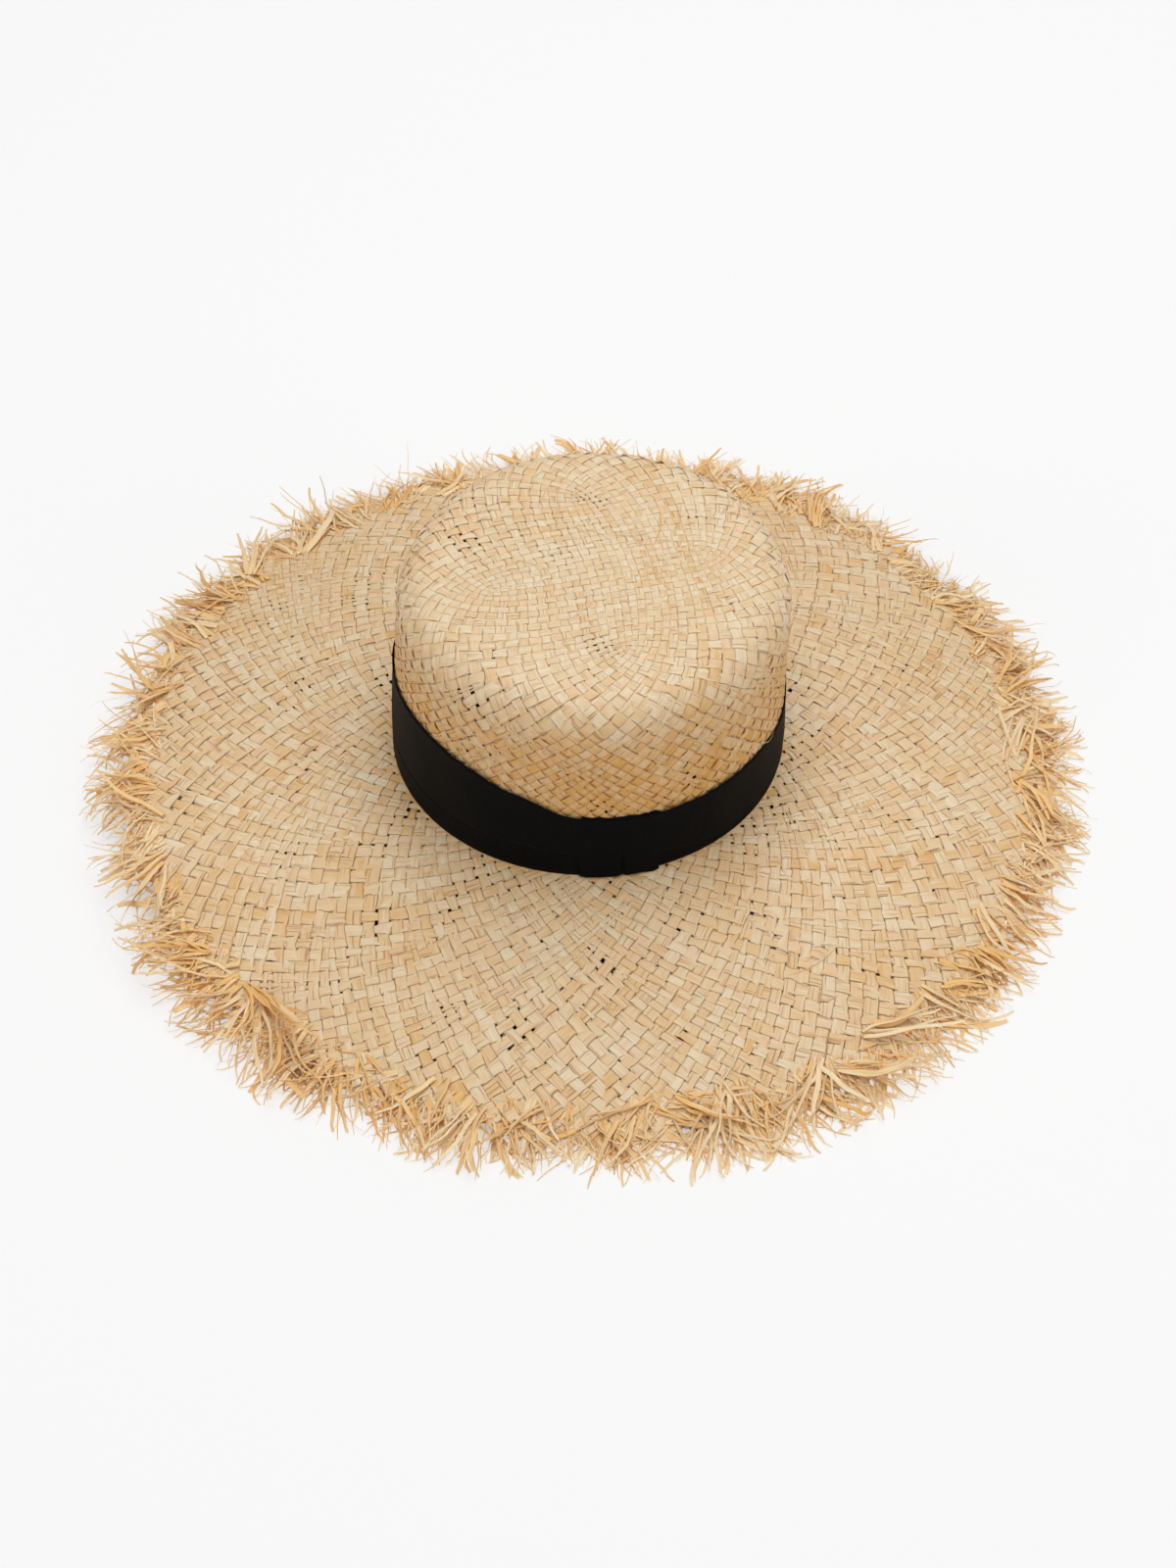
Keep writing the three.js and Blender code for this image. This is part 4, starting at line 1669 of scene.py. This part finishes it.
@dataclass
class Lining:
    """Sweatband, its stitching and the blank tape label."""

    form: HatForm
    bottom: float = 0.6
    tape_height: float = 30.0
    thickness: float = 0.7
    inset: float = 2.2
    stitches: int = 150
    stitch_height: float = 3.5

    def wall(self, z: np.ndarray) -> np.ndarray:
        """Return the sweatband's outer radius at height z above the headline."""
        return self.form.base_radius - self.inset - self.form.taper * z

    def ring(self, f: np.ndarray, radius: np.ndarray, z: np.ndarray) -> np.ndarray:
        """Return settled points at angle f from the front."""
        points = np.stack(
            [radius * np.sin(f), -radius * np.cos(f), z + self.form.headline + 0 * radius], axis=-1
        )
        return self.form.settle(points)

    def build_band(self, material: bpy.types.Material) -> bpy.types.Object:
        """Make the sweatband as a closed thin shell that bows a little inwards."""
        f = np.linspace(0.0, FULL_TURN, 360, endpoint=False)[:, None]
        v = np.linspace(0.0, 1.0, 18)[None, :]
        z = self.bottom + self.tape_height * v + 0 * f
        bow = 0.5 * np.sin(math.pi * v) + 0.25 * np.sin(9 * f) * v + 0.2 * np.sin(4 * f + 1.0) * v
        out = self.wall(z) - bow
        outer = self.ring(f, out, z)
        inner = self.ring(f, out - self.thickness, z)
        points, quads = shell(outer, inner, closed=True)
        cloth = np.stack([f * self.form.base_radius * MM + 0 * v, z * MM, 0 * z], axis=-1)
        extra = {"cloth": np.tile(cloth.reshape(-1, 3), (2, 1))}
        piece = quad_mesh("head_tape", points, quads, extra)
        dress(piece, material, Slot.SWEATBAND, "sweatband")
        return piece

    def build_stitches(self, material: bpy.types.Material) -> bpy.types.Object:
        """Make a running row of short stitches, each a bowed closed tube."""
        count, rows = self.stitches, 7
        t = np.linspace(0.0, 1.0, rows)[None, :]
        start = FULL_TURN * np.arange(count)[:, None] / count
        f = start + FULL_TURN / count * 0.62 * t
        z = np.full(f.shape, self.stitch_height)
        radius = self.wall(z) - self.thickness - 0.25 - 0.35 * np.sin(math.pi * t)
        line = self.ring(f, radius, z)
        normal = np.stack([-np.sin(f), np.cos(f), 0 * f], axis=-1)
        section = StripSection(
            (-1.0, -0.5, 0.5, 1.0, 0.5, -0.5), (0.0, 0.87, 0.87, 0.0, -0.87, -0.87)
        )
        thick = 0.32 * (0.35 + 0.65 * np.sin(math.pi * t) ** 0.5) * np.ones((count, 1))
        points, quads, across = section.sweep(
            line, normal, thick, thick, np.zeros(f.shape),
            np.zeros(count, int), np.full(count, rows - 1),
        )
        cloth = np.stack([across * 0.0003, points[:, 0] * MM, 0 * across], axis=-1)
        piece = quad_mesh("head_tape_stitches", points, quads, {"cloth": cloth})
        dress(piece, material, Slot.THREAD, "sweatband_stitch")
        return piece

    def build_label(self, material: bpy.types.Material) -> bpy.types.Object:
        """Make the blank label: a short folded tape standing on the sweatband."""
        u = np.linspace(-1.0, 1.0, 21)[:, None]
        v = np.linspace(0.0, 1.0, 15)[None, :]
        f = math.pi + np.radians(5.4) * u
        z = 6.0 + 20.0 * v + 0 * u
        radius = self.wall(z) - self.thickness - 0.75 - 0.5 * v**2 - 0.25 * np.sin(3 * u) * v
        outer = self.ring(f, radius, z)
        inner = self.ring(f, radius - 0.4, z)
        points, quads = shell(outer, inner, closed=False)
        cloth = np.stack([f * self.form.base_radius * MM + 0 * v, z * MM, 0 * z], axis=-1)
        extra = {"cloth": np.tile(cloth.reshape(-1, 3), (2, 1))}
        piece = quad_mesh("blank_label", points, quads, extra)
        dress(piece, material, Slot.LABEL, "size_label")
        return piece


# ---------------------------------------------------------------------------
# Studio
# ---------------------------------------------------------------------------


@dataclass
class Studio:
    """Camera, pale floor and soft light."""

    distance: float = 1.8
    elevation: float = 46.7
    target: tuple = (0.0, -0.0355, 0.031)
    focal_ratio: float = 3856.0 / 1200.0
    sensor: float = 36.0
    floor_side: float = 12.0
    floor_grey: tuple = (0.34, 0.34, 0.34)
    floor_glow: float = 0.64
    # Painted shadow: share of the floor grey that is kept under the hat.
    painted_shadow_share: float = 0.15
    glow_edge: tuple = (0.19, 0.24)
    surround: float = 0.22
    above: float = 25.0
    behind: float = 15.0
    side: float = 10.5

    def camera(self) -> None:
        """Make the camera at the view's angle: distance D along (0, -cos e, sin e)."""
        e = math.radians(self.elevation)
        data = bpy.data.cameras.new("studio_camera")
        data.sensor_fit = "HORIZONTAL"
        data.sensor_width = self.sensor
        data.lens = self.focal_ratio * self.sensor
        data.clip_start = 0.05
        data.clip_end = 50.0
        eye = bpy.data.objects.new("studio_camera", data)
        eye.location = (
            self.target[0],
            self.target[1] - self.distance * math.cos(e),
            self.target[2] + self.distance * math.sin(e),
        )
        eye.rotation_euler = (QUARTER_TURN - e, 0.0, 0.0)
        bpy.context.scene.collection.objects.link(eye)
        bpy.context.scene.camera = eye

    def softbox(self, name: str, place: tuple, aim: tuple, size: float, power: float) -> None:
        """Add a square area light at a place, aimed at a point."""
        data = bpy.data.lights.new(name, "AREA")
        data.size = size
        data.energy = power
        lamp = bpy.data.objects.new(name, data)
        lamp.location = place
        direction = np.asarray(aim) - np.asarray(place)
        flat = math.hypot(direction[0], direction[1])
        lamp.rotation_euler = (
            math.atan2(flat, -direction[2]),
            0.0,
            math.atan2(direction[1], direction[0]) - QUARTER_TURN,
        )
        bpy.context.scene.collection.objects.link(lamp)

    def floor(self) -> None:
        """Add a large pale floor just under the hat, with a painted shadow beneath the hat.

        Inside glow_edge, where the hat covers it, the floor is painted darker and has no glow: a
        painted shadow, so that openings in the weave read dark. Everywhere else it is one pale grey.
        """
        side = self.floor_side
        points = np.array([[-side, -side, 0], [side, -side, 0], [side, side, 0], [-side, side, 0]])
        piece = quad_mesh("studio_floor", points / MM, np.array([[0, 1, 2, 3]]), {})
        made = bpy.data.materials.new("Pale floor")
        made.use_nodes = True
        w = Wiring(made.node_tree)
        shader = made.node_tree.nodes["Principled BSDF"]
        shader.inputs["Roughness"].default_value = 1.0
        shader.inputs["Specular IOR Level"].default_value = 0.0
        place = w.node("ShaderNodeTexCoord").outputs["Object"]
        away = w.node("ShaderNodeVectorMath", operation="LENGTH")
        w.join(place, away.inputs[0])
        low, high = self.glow_edge
        glow = w.span(away.outputs["Value"], low, high, (0.0, 1.0))
        w.join(glow, shader.inputs["Emission Color"])
        # Painted shadow: under the hat the floor's grey is darkened and its glow fades out.
        painted_shadow_grey = tuple(self.painted_shadow_share * x for x in self.floor_grey)
        shade = w.blend("MIX", glow, (*painted_shadow_grey, 1.0), (*self.floor_grey, 1.0))
        w.join(shade, shader.inputs["Base Color"])
        shader.inputs["Emission Strength"].default_value = self.floor_glow
        piece.data.materials.append(made)

    def light(self) -> None:
        """Add an even white surround and four softboxes."""
        scene = bpy.context.scene
        world = bpy.data.worlds.new("studio_surround")
        world.use_nodes = True
        back = world.node_tree.nodes["Background"]
        back.inputs["Color"].default_value = (1.0, 1.0, 1.0, 1.0)
        back.inputs["Strength"].default_value = self.surround
        scene.world = world
        scene.view_settings.view_transform = "Standard"
        self.softbox("softbox_above", (0.1, 0.1, 2.3), (0.0, 0.0, 0.05), 1.8, self.above)
        self.softbox("softbox_back", (0.3, 1.7, 2.0), (0.0, 0.0, 0.05), 1.6, self.behind)
        self.softbox("softbox_left", (-1.8, -1.3, 1.5), (0.0, 0.0, 0.08), 1.2, self.side)
        self.softbox("softbox_right", (1.8, -1.3, 1.5), (0.0, 0.0, 0.08), 1.2, self.side)


def main() -> None:
    """Build the studio and every piece of the hat in order."""
    logging.basicConfig(level=logging.INFO, format="%(name)s %(message)s", stream=sys.stdout)
    studio = Studio()
    studio.camera()
    studio.floor()
    studio.light()

    leaf, tape = raffia_group(), cloth_group()
    straw = RaffiaFinish(
        "Raffia weave", (0.88, 0.765, 0.555), (0.78, 0.425, 0.11), (0.88, 0.63, 0.42),
        (0.44, 0.15, 0.028), sheen=0.06,
    ).make(leaf)
    frayed = RaffiaFinish(
        "Raffia frayed", (1.0, 0.88, 0.62), (0.94, 0.56, 0.18), (1.0, 0.68, 0.34),
        (0.50, 0.15, 0.02), sheen=0.30,
    ).make(leaf)
    black = ClothFinish(
        "Black ribbon", (0.0021, 0.0032, 0.0050), (0.0010, 0.0015, 0.0024), 0.62, 0.0008, 0.0005,
        relief=0.00005, sheen=0.0, specular=0.07,
    ).make(tape)
    cream = ClothFinish(
        "Cream sweatband", (0.80, 0.73, 0.58), (0.55, 0.48, 0.35), 0.85, 0.0014, 0.0007
    ).make(tape)
    thread = ClothFinish(
        "Cream thread", (0.93, 0.89, 0.79), (0.74, 0.68, 0.56), 0.8, 0.0003, 0.0006
    ).make(tape)
    white = ClothFinish(
        "White label tape", (0.86, 0.85, 0.81), (0.68, 0.67, 0.63), 0.8, 0.0005, 0.0004
    ).make(tape)

    form = HatForm()
    weave = Weave(form)
    LOG.info("strips %d to %d, rows %d", weave.tip.strips, weave.total, len(weave.rows))
    Crown(weave).build(straw)
    Brim(weave).build(straw)
    LooseHairs(weave).build(straw)
    Fringe(weave).build(frayed)
    ribbon = Ribbon(form)
    ribbon.build_band(black)
    ribbon.build_tab(black)
    lining = Lining(form)
    lining.build_band(cream)
    lining.build_stitches(thread)
    lining.build_label(white)


if __name__ == "__main__":
    main()
